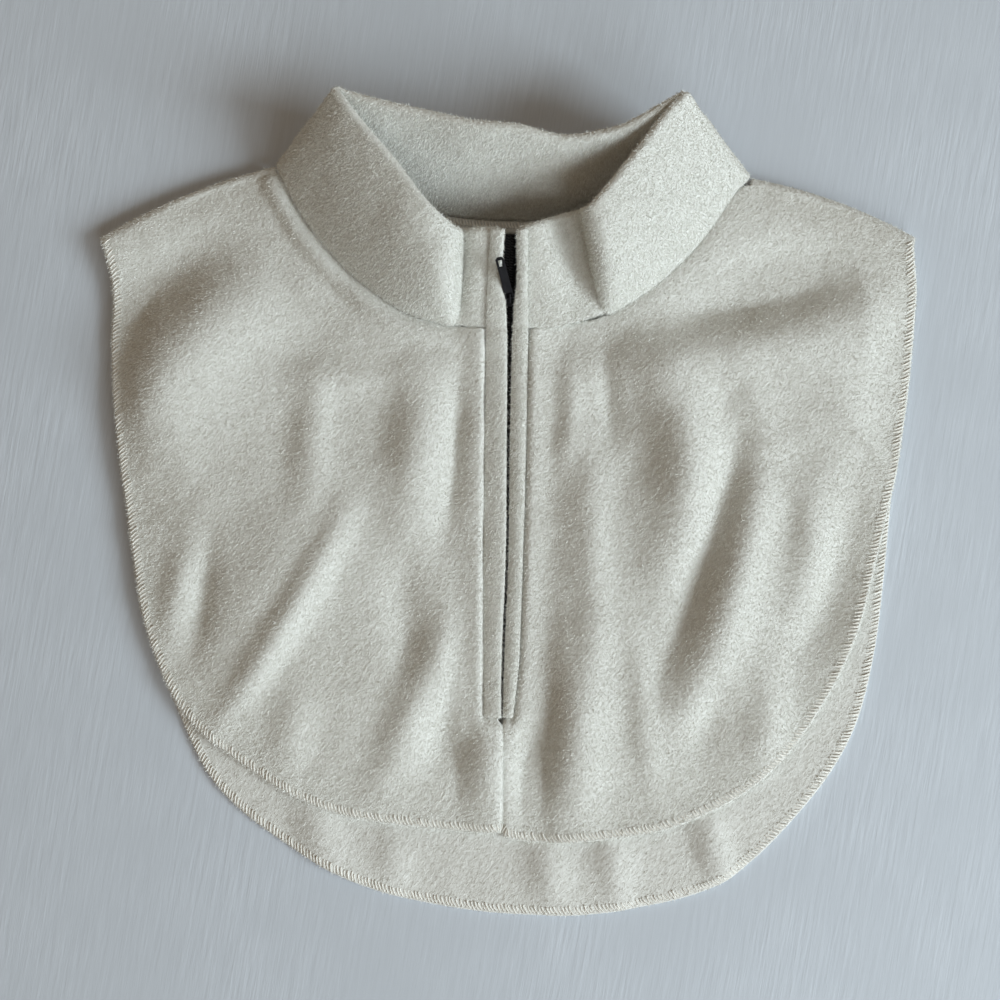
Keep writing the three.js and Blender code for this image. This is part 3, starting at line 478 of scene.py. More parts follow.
def ray_point(rim, panel_length, turn, reach):
    """A panel is ruled by rays from the neck seam to the outer edge"""
    size = sizes()
    row = turn * (len(rim["x"]) - 1)
    start = neck_seam(column(rim, "neck", row))
    neck_z = start[..., 2].copy()
    start[..., 2] = 0
    below = panel_length - size.shoulder_drop
    end = vector(column(rim, "x", row) * size.half_width,
                 -size.shoulder_drop - column(rim, "down", row) * below, 0.0)
    run = end - start
    span = np.linalg.norm(run, axis=-1)
    near = np.minimum(turn, 1 - turn) if rim is BACK_RIM else turn
    setback = size.seam_setback + CORNER_SETBACK * bell(near, CORNER_TURN)
    share = lerp(setback / span, 1, reach)
    point = start + run * share[..., None]
    outward = unit(vector(np.abs(run[..., 1]), np.abs(run[..., 0]), 0.0))
    outward[..., 0] *= np.sign(run[..., 0])
    shoulder = 1 - smooth(0, lerp(NECK_INSET, EDGE_INSET, reach), near)
    bow = size.shoulder_bow * 4 * reach * (1 - reach)
    point += outward * (shoulder * (bow - size.fold_radius))[..., None]
    return point, span, neck_z, outward


def rolled(point, outward, over, rise):
    angle = over * math.pi / 2
    radius = sizes().fold_radius
    point += outward * (radius * np.sin(angle))[..., None]
    point[..., 2] += rise * radius * (1 - np.cos(angle))
    return point


def front_point(rim, side, turn, reach):
    flat_turn = np.clip(turn, 0, 1)
    point, span, neck_z, outward = ray_point(rim, sizes().front_length, flat_turn, reach)
    hold = smooth(CLOSE_TURN, 1, flat_turn)
    point[..., 0] += hold * (centre_edge(point[..., 1], side) - point[..., 0])
    seam_z = np.maximum(neck_z, shoulder_top())
    point[..., 2] = front_height(point[..., 0], point[..., 1], flat_turn, reach, seam_z, span)
    return rolled(point, outward, np.maximum(-turn, 0), -1)


def back_point(turn, reach):
    size = sizes()
    flat_turn = np.clip(turn, 0, 1)
    point, span, _, outward = ray_point(BACK_RIM, size.back_length, flat_turn, reach)
    near = np.minimum(flat_turn, 1 - flat_turn)
    rise = (size.back_neck_rise - size.fleece / 2) * smooth(0, BACK_SHOULDER_TURN, near)
    point[..., 2] = size.fleece / 2 + rise * bell(reach * span, BACK_NECK_BLEND)
    return rolled(point, outward, np.maximum(np.maximum(-turn, turn - 1), 0), 1)


# Frames of points in the part's own place


def part_shift():
    """From the drafting origin, on the zip's line level with the neck points, to the part's"""
    turns = np.linspace(0, 1, 41)
    hem = back_point(turns, np.ones_like(turns))
    spot = zip_at(np.linspace(0, 1, 37))
    welt_edge = spot["centre"] - spot["opening"] - spot["left"]
    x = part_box("zip_lip_left")[0].x - welt_edge.min()
    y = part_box("back_panel")[0].y - hem[:, 1].min()
    return np.array([x, y, 0.0])


def evenly(surface, count, reach, low=0.0, high=1.0):
    """Turns between two limits that step evenly along the surface at the given reach"""
    dense = np.linspace(low, high, 2000)
    path = surface(dense, np.full_like(dense, reach))
    steps = np.linalg.norm(np.diff(path, axis=0), axis=1)
    walked = np.concatenate([[0], np.cumsum(steps)])
    return np.interp(np.linspace(0, walked[-1], count), walked, dense)


LATTICE = 64


def soft_noise(u, v, step, seed):
    """Smooth noise from -1 to 1 on a plane, with hills about one step apart"""
    lattice = np.random.default_rng(seed).uniform(-1, 1, (LATTICE, LATTICE))
    x = u / step
    y = v / step
    i = np.floor(x).astype(int)
    j = np.floor(y).astype(int)
    s = smooth(0, 1, x - i)
    t = smooth(0, 1, y - j)
    corner = [lattice[(i + a) % LATTICE, (j + b) % LATTICE] for a in (0, 1) for b in (0, 1)]
    return lerp(lerp(corner[0], corner[1], t), lerp(corner[2], corner[3], t), s)


# Undulations of soft fleece: distance between hills and height, in millimetres
UNDULATIONS = [(38, 0.9), (16, 0.4), (7, 0.16)]


def undulation(u, v, seed):
    total = np.zeros_like(u)
    for k, (step, height) in enumerate(UNDULATIONS):
        total += soft_noise(u, v, step * MM, seed + k) * height * MM
    return total


# Meshes


def new_object(name, mesh, material=None):
    made = bpy.data.objects.new(name, mesh)
    bpy.context.scene.collection.objects.link(made)
    if material is not None:
        mesh.materials.clear()
        mesh.materials.append(material)
    return made


def mesh_of(name, points, faces):
    mesh = bpy.data.meshes.new(name)
    mesh.from_pydata(points.reshape(-1, 3).tolist(), [], faces)
    mesh.update()
    mesh.polygons.foreach_set("use_smooth", np.ones(len(mesh.polygons), bool))
    return mesh


def face_outwards(mesh):
    shape = bmesh.new()
    shape.from_mesh(mesh)
    bmesh.ops.recalc_face_normals(shape, faces=shape.faces)
    shape.to_mesh(mesh)
    shape.free()


def band_mesh(name, rings):
    """A closed band through rings of points, with a flat cap at each end.
    Each ring goes along one face and back along the other, with as many points on both."""
    stations, count = rings.shape[:2]
    i, j = np.meshgrid(np.arange(stations - 1), np.arange(count), indexing="ij")
    k = (j + 1) % count
    sides = np.stack([i * count + j, (i + 1) * count + j, (i + 1) * count + k, i * count + k], -1)
    a = np.arange(count // 2 - 1)
    cap = np.stack([a, a + 1, count - 2 - a, count - 1 - a], -1)
    last = (stations - 1) * count
    faces = sides.reshape(-1, 4).tolist() + cap.tolist() + (cap[:, ::-1] + last).tolist()
    mesh = mesh_of(name, rings, faces)
    face_outwards(mesh)
    return mesh


def round_rings(grid, normal, half, inner_half=None, arc=4, ends=(True, True)):
    """Rings round a wall: both faces of a grid, and round edges at its first and last column.
    The face under the grid may lie nearer than the one over it."""
    along = unit(np.gradient(grid, axis=1))
    inner = np.full(len(grid), half) if inner_half is None else inner_half
    top = grid + normal * half
    under = (grid - normal * inner[:, None, None])[:, ::-1]
    angles = np.linspace(0, math.pi, arc + 2)[1:-1]

    def turned(column_at, outward, sign):
        n = normal[:, column_at]
        ring = []
        for angle in angles:
            across = sign * math.cos(angle)
            reach = half if across > 0 else inner[:, None]
            ring.append(grid[:, column_at] + across * reach * n
                        + math.sin(angle) * half * outward)
        return np.stack(ring, axis=1)

    far = turned(-1, along[:, -1], 1) if ends[1] else np.empty((len(grid), 0, 3))
    near = turned(0, -along[:, 0], -1) if ends[0] else np.empty((len(grid), 0, 3))
    half_near = near.shape[1] // 2
    return np.concatenate([near[:, half_near:], top, far, under, near[:, :half_near]], axis=1)


def path_object(name, points, up):
    """A line of edges, with the direction that is up at each point"""
    mesh = bpy.data.meshes.new(name)
    count = len(points)
    mesh.from_pydata(points.tolist(), [(k, k + 1) for k in range(count - 1)], [])
    layer = mesh.attributes.new("up", "FLOAT_VECTOR", "POINT")
    layer.data.foreach_set("vector", np.ascontiguousarray(up, dtype=np.float32).ravel())
    return new_object(name, mesh)


# Node trees


def node(tree, kind, inputs=None, **settings):
    """One node: its settings first, then its inputs by name or number, set or linked"""
    made = tree.nodes.new(kind)
    for key, value in settings.items():
        setattr(made, key, value)
    for key, value in (inputs or {}).items():
        if isinstance(value, bpy.types.NodeSocket):
            tree.links.new(value, made.inputs[key])
        else:
            made.inputs[key].default_value = value
    return made


def math_node(tree, operation, a, b=0.0):
    return node(tree, "ShaderNodeMath", {0: a, 1: b}, operation=operation).outputs[0]


def new_material(name, roughness, **sockets):
    """A material with uniform values on the shader's own sockets"""
    material = bpy.data.materials.new(name)
    material.use_nodes = True
    shader = material.node_tree.nodes["Principled BSDF"]
    shader.inputs["Roughness"].default_value = roughness
    for key, value in sockets.items():
        shader.inputs[key.replace("_", " ")].default_value = value
    return material, material.node_tree, shader


def object_noise(tree, scale, detail=3.0, roughness=0.55, stretch=1.0, turn=0.0):
    """Noise in object space, stretched along a direction turned from the X axis"""
    coordinates = node(tree, "ShaderNodeTexCoord").outputs["Object"]
    mapped = node(tree, "ShaderNodeMapping", {
        "Vector": coordinates, "Rotation": (0.0, 0.0, math.radians(turn)),
        "Scale": (stretch, 1.0, 1.0)}, vector_type="TEXTURE")
    return node(tree, "ShaderNodeTexNoise", {
        "Vector": mapped.outputs["Vector"], "Scale": scale, "Detail": detail,
        "Roughness": roughness}).outputs["Fac"]


def colour_mix(tree, share, first, second):
    return node(tree, "ShaderNodeMix", {0: share, 6: first, 7: second},
                data_type="RGBA").outputs[2]


def ranged(tree, value, low, high, to_low=0.0, to_high=1.0):
    return node(tree, "ShaderNodeMapRange", {
        "Value": value, "From Min": low, "From Max": high,
        "To Min": to_low, "To Max": to_high}).outputs["Result"]


def bump(tree, height, distance, strength=1.0, normal=None):
    inputs = {"Height": height, "Distance": distance, "Strength": strength}
    if normal is not None:
        inputs["Normal"] = normal
    return node(tree, "ShaderNodeBump", inputs).outputs["Normal"]


def paint(tree, shader, colour, normal):
    tree.links.new(colour, shader.inputs["Base Color"])
    tree.links.new(normal, shader.inputs["Normal"])


def rgba(colour, gain=1.0):
    return (colour[0] * gain, colour[1] * gain, colour[2] * gain, 1.0)


# Materials

# Direction of the nap's strokes and of the board's brush marks, in degrees from the X axis
NAP_TURN = 52
BRUSH_TURN = 80


def fleece_material():
    """Brushed fleece: nap combed down the body, clumped, with painted shade in the hollows of its
    bump, and tone from slow drifts
    """
    look = finish()
    material, tree, shader = new_material(
        "ivory_fleece", 0.93, Specular_IOR_Level=0.15, Sheen_Weight=0.35, Sheen_Roughness=0.5,
        Sheen_Tint=(1.0, 0.98, 0.92, 1.0))
    nap = object_noise(tree, 1700, 4, 0.65, 2.6, NAP_TURN)
    clumps = object_noise(tree, 520, 3, 0.6, 1.9, NAP_TURN)
    drift = object_noise(tree, 22, 3)
    # Painted shade: the colour sinks to the fleece shade where the nap and clumps sink in the
    # bump, on top of the nap's random tone
    tone = math_node(tree, "ADD", math_node(tree, "MULTIPLY", nap, 0.5),
                     math_node(tree, "MULTIPLY", clumps, 0.5))
    tone = ranged(tree, tone, 0.33, 0.6)
    body = colour_mix(tree, tone, rgba(look.fleece_shade), rgba(look.fleece_colour))
    worn = colour_mix(tree, ranged(tree, drift, 0.35, 0.7, 0.0, 0.16), body,
                      rgba(look.fleece_shade))
    soft = bump(tree, clumps, 0.8 * MM, 0.5)
    paint(tree, shader, worn, bump(tree, nap, 0.4 * MM, 0.6, soft))
    return material


def thread_material():
    """Spun thread of the overlock stitches"""
    look = finish()
    material, tree, shader = new_material("overlock_thread", 0.75, Specular_IOR_Level=0.25,
                                          Sheen_Weight=0.2, Sheen_Roughness=0.4)
    ply = object_noise(tree, 2600, 2)
    colour = colour_mix(tree, ply, rgba(look.thread_colour, 0.86), rgba(look.thread_colour))
    paint(tree, shader, colour, bump(tree, ply, 0.12 * MM, 0.5))
    return material


def woven_material():
    """Black woven tape of the zip"""
    look = finish()
    material, tree, shader = new_material("zip_tape_weave", 0.82, Specular_IOR_Level=0.2)
    coordinates = node(tree, "ShaderNodeTexCoord").outputs["Object"]
    rows = node(tree, "ShaderNodeTexWave", {"Vector": coordinates, "Scale": 320.0},
                bands_direction="X")
    picks = node(tree, "ShaderNodeTexWave", {"Vector": coordinates, "Scale": 260.0},
                 bands_direction="Y")
    weave = math_node(tree, "MULTIPLY", rows.outputs["Fac"], picks.outputs["Fac"])
    colour = colour_mix(tree, weave, rgba(look.zip_colour), rgba(look.zip_colour, 3))
    paint(tree, shader, colour, bump(tree, weave, 0.2 * MM, 0.6))
    return material


def nylon_material():
    """Black nylon of the zip's coil"""
    look = finish()
    material, tree, shader = new_material("zip_coil_nylon", 0.42)
    haze = object_noise(tree, 700, 2)
    colour = colour_mix(tree, haze, rgba(look.zip_colour), rgba(look.zip_colour, 2))
    paint(tree, shader, colour, bump(tree, haze, 0.05 * MM, 0.3))
    return material


def enamel_material():
    """Black enamel of the slider and its pull, dulled by handling"""
    look = finish()
    material, tree, shader = new_material("zip_enamel_black", 0.45,
                                          Specular_IOR_Level=0.1)
    rub = object_noise(tree, 420, 5, 0.7)
    tree.links.new(ranged(tree, rub, 0.4, 0.7, 0.36, 0.6), shader.inputs["Roughness"])
    colour = colour_mix(tree, rub, rgba(look.zip_colour), rgba(look.zip_colour, 3))
    paint(tree, shader, colour, bump(tree, rub, 0.04 * MM, 0.25))
    return material


def board_material():
    """Plain pale painted board, with faint brush marks"""
    look = finish()
    material, tree, shader = new_material("pale_board", 0.75, Specular_IOR_Level=0.2)
    brush = object_noise(tree, 430, 4, 0.65, 14, BRUSH_TURN)
    patch = object_noise(tree, 9, 3)
    marks = ranged(tree, brush, 0.3, 0.7)
    strong = math_node(tree, "MULTIPLY", marks, ranged(tree, patch, 0.35, 0.65, 0.25, 1.0))
    colour = colour_mix(tree, strong, rgba(look.floor_colour, 0.93),
                        rgba(look.floor_colour, 1.07))
    paint(tree, shader, colour, bump(tree, strong, 0.2 * MM, 0.6))
    return material


def pile_material():
    """Single fibres of the fleece, painted lighter than the cloth as a painted glow in place of
    the light that passes through them
    """
    look = finish()
    material, tree, shader = new_material("fleece_fibre", 0.9, Specular_IOR_Level=0.1)
    tone = object_noise(tree, 900, 3)
    # Painted glow: the fibres' colour runs from above the fleece shade to above the fleece
    # colour, in random tone
    tree.links.new(colour_mix(tree, ranged(tree, tone, 0.3, 0.7), rgba(look.fleece_shade, 1.2),
                              rgba(look.fleece_colour, 1.32)), shader.inputs["Base Color"])
    return material


MATERIAL_MAKERS = {
    "fleece": fleece_material,
    "pile": pile_material,
    "thread": thread_material,
    "woven": woven_material,
    "nylon": nylon_material,
    "enamel": enamel_material,
    "board": board_material,
}
_made = {}


def material(name):
    if name not in _made:
        _made[name] = MATERIAL_MAKERS[name]()
    return _made[name]


# Geometry Nodes for what repeats


def named_inputs(tree, names):
    """Adds the tree's geometry in and out, and a named number input for each name"""
    face = tree.interface
    face.new_socket("Geometry", in_out="INPUT", socket_type="NodeSocketGeometry")
    for name, kind in names:
        face.new_socket(name, in_out="INPUT", socket_type=kind)
    face.new_socket("Geometry", in_out="OUTPUT", socket_type="NodeSocketGeometry")
    return node(tree, "NodeGroupInput").outputs


def apply_tree(base, tree, values, name, finish_material):
    """Runs a tree on an object, and returns the result as a plain mesh object"""
    modifier = base.modifiers.new(tree.name, "NODES")
    modifier.node_group = tree
    for item in tree.interface.items_tree:
        if item.in_out == "INPUT" and item.name in values:
            modifier[item.identifier] = values[item.name]
    base.data.update()
    bpy.context.view_layer.update()
    seen = base.evaluated_get(bpy.context.evaluated_depsgraph_get())
    mesh = bpy.data.meshes.new_from_object(seen)
    mesh.name = name
    if not mesh.polygons:
        raise RuntimeError(f"{name} came out empty")
    bpy.data.objects.remove(base)
    return new_object(name, mesh, finish_material)


def combine(tree, x=0.0, y=0.0, z=0.0):
    return node(tree, "ShaderNodeCombineXYZ", {0: x, 1: y, 2: z}).outputs[0]


def random_value(tree, low, high, seed):
    return node(tree, "FunctionNodeRandomValue", {2: low, 3: high, "Seed": seed},
                data_type="FLOAT").outputs[1]


def end_tree(tree, geometry, finish_material):
    realized = node(tree, "GeometryNodeRealizeInstances", {"Geometry": geometry})
    painted = node(tree, "GeometryNodeSetMaterial", {"Geometry": realized.outputs[0],
                                                     "Material": finish_material})
    node(tree, "NodeGroupOutput", {"Geometry": painted.outputs[0]})


def strand(tree, start, middle, end, thickness, segments, sides):
    """One short bent strand as a tube"""
    bent = node(tree, "GeometryNodeCurveQuadraticBezier", {
        "Resolution": segments, "Start": start, "Middle": middle, "End": end})
    ring = node(tree, "GeometryNodeCurvePrimitiveCircle", {
        "Resolution": sides, "Radius": math_node(tree, "DIVIDE", thickness, 2.0)}, mode="RADIUS")
    return node(tree, "GeometryNodeCurveToMesh", {
        "Curve": bent.outputs[0], "Profile Curve": ring.outputs[0], "Fill Caps": True}).outputs[0]


def placed_along(tree, geometry, pitch, shape, seed, jitter, size_low, size_high):
    """Puts a shape at every pitch of a path, its X along the path and its Z up"""
    curve = node(tree, "GeometryNodeMeshToCurve", {"Mesh": geometry})
    spaced = node(tree, "GeometryNodeResampleCurve", {"Curve": curve.outputs[0],
                                                      "Length": pitch}, mode="LENGTH")
    up = node(tree, "GeometryNodeInputNamedAttribute", {"Name": "up"}, data_type="FLOAT_VECTOR")
    tangent = node(tree, "GeometryNodeInputTangent")
    axes = node(tree, "FunctionNodeAxesToRotation", {
        "Primary Axis": up.outputs["Attribute"], "Secondary Axis": tangent.outputs[0]},
        primary_axis="Z", secondary_axis="X")
    shaken = node(tree, "FunctionNodeRandomValue", {
        0: (-jitter, -jitter, -jitter), 1: (jitter, jitter, jitter), "Seed": seed},
        data_type="FLOAT_VECTOR")
    turned = node(tree, "FunctionNodeRotateRotation", {
        "Rotation": axes.outputs[0], "Rotate By": shaken.outputs[0]}, rotation_space="LOCAL")
    scale = random_value(tree, size_low, size_high, math_node(tree, "ADD", seed, 1.0))
    return node(tree, "GeometryNodeInstanceOnPoints", {
        "Points": spaced.outputs[0], "Instance": shape, "Rotation": turned.outputs[0],
        "Scale": scale}).outputs[0]


def overlock_tree():
    """Overlock stitches: slanted strands over a cloth's edge, and a looper thread along it"""
    tree = bpy.data.node_groups.new("Overlock Stitches", "GeometryNodeTree")
    inputs = named_inputs(tree, [
        ("Pitch", "NodeSocketFloat"), ("Width", "NodeSocketFloat"), ("Thread", "NodeSocketFloat"),
        ("Edge", "NodeSocketFloat"), ("Slant", "NodeSocketFloat"), ("Seed", "NodeSocketInt")])
    width, thread, edge = inputs["Width"], inputs["Thread"], inputs["Edge"]
    inside = math_node(tree, "MULTIPLY", width, -1.0)
    below = math_node(tree, "MULTIPLY", edge, -1.0)
    out = math_node(tree, "MULTIPLY", edge, 1.2)
    lean = inputs["Slant"]
    over = strand(tree, combine(tree, lean, inside, edge), combine(tree, 0.0, out, edge),
                  combine(tree, 0.0, 0.0, below), thread, 6, 5)
    hook = strand(tree, combine(tree, lean, inside, edge),
                  combine(tree, math_node(tree, "MULTIPLY", lean, 1.6), inside, edge),
                  combine(tree, math_node(tree, "MULTIPLY", lean, -1.0), 0.0, edge), thread, 4, 5)
    shape = node(tree, "GeometryNodeJoinGeometry")
    tree.links.new(over, shape.inputs[0])
    tree.links.new(hook, shape.inputs[0])
    placed = placed_along(tree, inputs["Geometry"], inputs["Pitch"], shape.outputs[0],
                          inputs["Seed"], 0.09, 0.9, 1.1)
    end_tree(tree, placed, material("thread"))
    return tree


def bar_tree(name, finish_material):
    """Short arched bars at every pitch of a path: the turns of the zip's coil"""
    tree = bpy.data.node_groups.new(name, "GeometryNodeTree")
    inputs = named_inputs(tree, [
        ("Pitch", "NodeSocketFloat"), ("Thread", "NodeSocketFloat"), ("Along", "NodeSocketFloat"),
        ("Across", "NodeSocketFloat"), ("Arch", "NodeSocketFloat"), ("Seed", "NodeSocketInt")])
    x = math_node(tree, "DIVIDE", inputs["Along"], 2.0)
    y = math_node(tree, "DIVIDE", inputs["Across"], 2.0)
    minus_x = math_node(tree, "MULTIPLY", x, -1.0)
    minus_y = math_node(tree, "MULTIPLY", y, -1.0)
    arch = math_node(tree, "MULTIPLY", inputs["Arch"], 2.0)
    shape = strand(tree, combine(tree, minus_x, minus_y, 0.0), combine(tree, 0.0, 0.0, arch),
                   combine(tree, x, y, 0.0), inputs["Thread"], 4, 5)
    placed = placed_along(tree, inputs["Geometry"], inputs["Pitch"], shape, inputs["Seed"],
                          0.05, 0.97, 1.03)
    end_tree(tree, placed, finish_material)
    return tree


def pile_tree():
    """Fibres of the nap: flat blades that lean down the body, strewn over a cloth"""
    tree = bpy.data.node_groups.new("Fleece Pile", "GeometryNodeTree")
    inputs = named_inputs(tree, [
        ("Density", "NodeSocketFloat"), ("Length", "NodeSocketFloat"),
        ("Width", "NodeSocketFloat"), ("Lean", "NodeSocketFloat"), ("Seed", "NodeSocketInt")])
    facing = node(tree, "ShaderNodeSeparateXYZ", {0: node(tree, "GeometryNodeInputNormal")
                                                  .outputs[0]})
    upward = node(tree, "FunctionNodeCompare", {0: facing.outputs["Z"], 1: -0.3},
                  operation="GREATER_THAN")
    spots = node(tree, "GeometryNodeDistributePointsOnFaces", {
        "Mesh": inputs["Geometry"], "Selection": upward.outputs[0],
        "Density": inputs["Density"], "Seed": inputs["Seed"]}, distribute_method="RANDOM")
    disc = node(tree, "GeometryNodeMeshCircle", {"Vertices": 3, "Radius": 1.0},
                fill_type="NGON")
    rooted = node(tree, "GeometryNodeTransform", {
        "Geometry": disc.outputs[0], "Translation": (0.5, 0.0, 0.0)})
    blade = node(tree, "GeometryNodeTransform", {
        "Geometry": rooted.outputs[0],
        "Scale": combine(tree, math_node(tree, "DIVIDE", inputs["Length"], 1.5),
                         math_node(tree, "DIVIDE", inputs["Width"], 1.732), 1.0)})
    spread = node(tree, "FunctionNodeRandomValue", {
        0: (-0.75, -0.75, -0.3), 1: (0.75, 0.75, 0.3), "Seed": inputs["Seed"]},
        data_type="FLOAT_VECTOR")
    loose = node(tree, "ShaderNodeVectorMath", {0: spots.outputs["Normal"],
                                                1: spread.outputs[0]}, operation="ADD")
    combed = node(tree, "ShaderNodeVectorMath", {
        0: loose.outputs[0],
        1: combine(tree, math_node(tree, "MULTIPLY", inputs["Lean"], -0.5),
                   math_node(tree, "MULTIPLY", inputs["Lean"], -1.0), 0.0)},
        operation="ADD")
    aimed = node(tree, "FunctionNodeAlignRotationToVector", {"Vector": combed.outputs[0]},
                 axis="X")
    spun = node(tree, "FunctionNodeRandomValue", {
        0: (-3.1, 0.0, 0.0), 1: (3.1, 0.0, 0.0),
        "Seed": math_node(tree, "ADD", inputs["Seed"], 5.0)}, data_type="FLOAT_VECTOR")
    turned = node(tree, "FunctionNodeRotateRotation", {
        "Rotation": aimed.outputs[0], "Rotate By": spun.outputs[0]}, rotation_space="LOCAL")
    scale = random_value(tree, 0.5, 1.3, math_node(tree, "ADD", inputs["Seed"], 3.0))
    strewn = node(tree, "GeometryNodeInstanceOnPoints", {
        "Points": spots.outputs["Points"], "Instance": blade.outputs[0],
        "Rotation": turned.outputs[0], "Scale": scale}).outputs[0]
    end_tree(tree, strewn, material("pile"))
    return tree


_trees = {}


def tree_of(name, maker):
    if name not in _trees:
        _trees[name] = maker()
    return _trees[name]


# The cloth pieces

WELT_LOFT = 0.7 * MM

# Where the front's puff beside a welt starts, is full, stays full to, and how it fades
PUFF_START = 0.3 * MM
PUFF_FULL = 2.4 * MM
PUFF_HOLD = 2 * MM
PUFF_FADE = 9 * MM

# The sunken seam below the zip's end: its width and depth, and where it starts and is full
END_SEAM_WIDTH = 1.3 * MM
END_SEAM_DEPTH = 1.1 * MM
END_SEAM_START = 2 * MM
END_SEAM_FULL = 5 * MM


def welt_relief(x, y, z):
    """The front puffs up round the welts, which lie in a window of the front"""
    size = sizes()
    spot = zip_at(zip_share(y))
    offset = x - spot["centre"]
    width = np.where(offset < 0, spot["left"], spot["right"])
    beside = np.abs(offset) - spot["opening"] - width
    past_end = zip_end_y() - y
    outside = np.maximum(beside, past_end)
    top = size.lip_wall + size.piece_gap + WELT_LOFT
    rise = smooth(PUFF_START, PUFF_FULL, outside)
    reach = np.maximum(beside, 0) + np.maximum(past_end, 0)
    fade = bell(np.maximum(reach - PUFF_HOLD, 0), PUFF_FADE)
    z = z + top * rise * fade
    seam = bell(offset, END_SEAM_WIDTH) * smooth(END_SEAM_START, END_SEAM_FULL, past_end)
    return z - END_SEAM_DEPTH * seam


def seam_ridge(distance, height, width):
    """A turned seam allowance that stands up beside the seam"""
    return height * bell(distance - width, 0.7 * width)


FRONT_ROWS = 230
FRONT_COLUMNS = 90
SHOULDER_ROWS = 9
BACK_ROWS = 220
BACK_COLUMNS = 70
COLLAR_ROWS = 400
COLLAR_COLUMNS_FINE = 36

# Reach at which a panel's turns are spaced evenly, and how far a shoulder rolls, as a share
# of a quarter turn
FRONT_EVEN_REACH = 0.85
BACK_EVEN_REACH = 0.9
SHOULDER_ROLL = 0.92

# Height and width of the seam allowance that stands up beside the neck seam, by side
NECK_RIDGE = {-1: 3.0 * MM, 1: 0.3 * MM}
NECK_RIDGE_WIDTH = 5.2 * MM


def inset_grid(rim, panel_length, turns, count):
    """Turns and reaches of a panel's grid, which leaves room for its round edges"""
    flat_turns = np.clip(turns, 0, 1)
    _, span, _, _ = ray_point(rim, panel_length, flat_turns, np.zeros_like(turns))
    inset = (sizes().fleece / 2 / span)[:, None]
    reach = lerp(inset, 1 - inset, np.linspace(0, 1, count))
    return np.broadcast_to(turns[:, None], reach.shape), reach


def front_grid(rim, side):
    """Middle surface of a front panel, and the direction of its upper face"""
    size = sizes()

    def surface(turn, reach):
        return front_point(rim, side, turn, reach)

    turns = np.concatenate([
        np.linspace(-SHOULDER_ROLL, 0, SHOULDER_ROWS, endpoint=False),
        evenly(surface, FRONT_ROWS, FRONT_EVEN_REACH)])
    turn, reach = inset_grid(rim, size.front_length, turns, FRONT_COLUMNS)
    points = surface(turn, reach)
    x, y = points[..., 0].copy(), points[..., 1].copy()
    flat = smooth(-0.2, 0.06, turn)
    points[..., 2] += flat * undulation(x, y, finish().seed + (0 if side < 0 else 10))
    points[..., 2] = lerp(points[..., 2], welt_relief(x, y, points[..., 2]),
                          smooth(0.5, 0.8, turn))
    from_seam = np.linalg.norm(points - points[:, :1], axis=-1)
    along_neck = smooth(0.02, 0.12, turn) * (1 - smooth(0.72, 0.92, turn))
    points[..., 2] += along_neck * seam_ridge(from_seam, NECK_RIDGE[side], NECK_RIDGE_WIDTH)
    normals = surface_normals(points)
    flip = np.sign(normals[FRONT_ROWS // 2, FRONT_COLUMNS // 2, 2])
    return points, normals * flip


def back_grid():
    turns = np.concatenate([
        np.linspace(-SHOULDER_ROLL, 0, SHOULDER_ROWS, endpoint=False),
        evenly(back_point, BACK_ROWS, BACK_EVEN_REACH),
        np.linspace(1, 1 + SHOULDER_ROLL, SHOULDER_ROWS + 1)[1:]])
    turn, reach = inset_grid(BACK_RIM, sizes().back_length, turns, BACK_COLUMNS)
    points = back_point(turn, reach)
    low = sizes().fleece / 2
    x, y = points[..., 0], points[..., 1]
    flat = smooth(-0.2, 0.06, turn) * (1 - smooth(0.94, 1.2, turn))
    lift = undulation(x, y, finish().seed + 20) + folds_at(BACK_FOLDS, x, y)
    points[..., 2] = np.maximum(points[..., 2] + flat * np.maximum(lift, 0), low)
    normals = surface_normals(points)
    flip = np.sign(normals[BACK_ROWS // 2, BACK_COLUMNS // 2, 2])
    return points, normals * flip


def collar_grid():
    """Middle surface of the collar, up to where its top edge starts to roll"""
    sections = evenly(collar_point, COLLAR_ROWS, 0.5, 0, LAST_SECTION)
    rise = np.linalg.norm(collar_top(sections) - neck_seam(sections), axis=-1)
    roll_height = 1 - sizes().collar_wall / 2 / rise
    section, share = np.meshgrid(sections, np.linspace(0, 1, COLLAR_COLUMNS_FINE),
                                 indexing="ij")
    height = share * roll_height[:, None]
    points = collar_point(section, height)
    normals = surface_normals(points)
    walked = np.linalg.norm(np.diff(points[:, COLLAR_COLUMNS_FINE // 2], axis=0), axis=1)
    along = np.concatenate([[0], np.cumsum(walked)])[:, None] + 0 * height
    rise = height * sizes().collar_stand
    lift = undulation(along, rise, finish().seed + 30) * smooth(0, 0.25, height)
    hold = smooth(0, 1.2, section) * (1 - smooth(LAST_SECTION - 1.2, LAST_SECTION, section))
    points += normals * (lift * hold)[..., None]
    return points, surface_normals(points), pressed_half(sections)


def pressed_half(sections):
    """Half wall of the collar's inner layer, pressed thin where it folds at two corners"""
    from_corner = np.minimum(np.abs(sections - LEFT_CORNER), np.abs(sections - RIGHT_CORNER))
    return sizes().collar_wall / 2 * lerp(CORNER_PRESS, 1, smooth(0, CORNER_REACH, from_corner))


def cloth_piece(name, points, normals, half, **edges):
    rings = round_rings(points, normals, half, **edges) + part_shift()
    return new_object(name, band_mesh(name, rings), material("fleece"))


def declare_sheet(piece, node_name):
    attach(piece, BODY)
    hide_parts(node_name)


# The zip's path

SEAM_PASS = 2.3 * MM
SEAM_FADE = 14 * MM
CORNER_EASE = 0.8 * MM
TAPE_PARTING = 0.03 * MM
TAPE_START = 0.014
COIL_SETBACK = 3.5 * MM
HALF_COIL_SETBACK = 1 * MM
COIL_RISE = 1.05 * MM
SLIDER_STATION = 0.129
SLIDER_LENGTH = 9 * MM


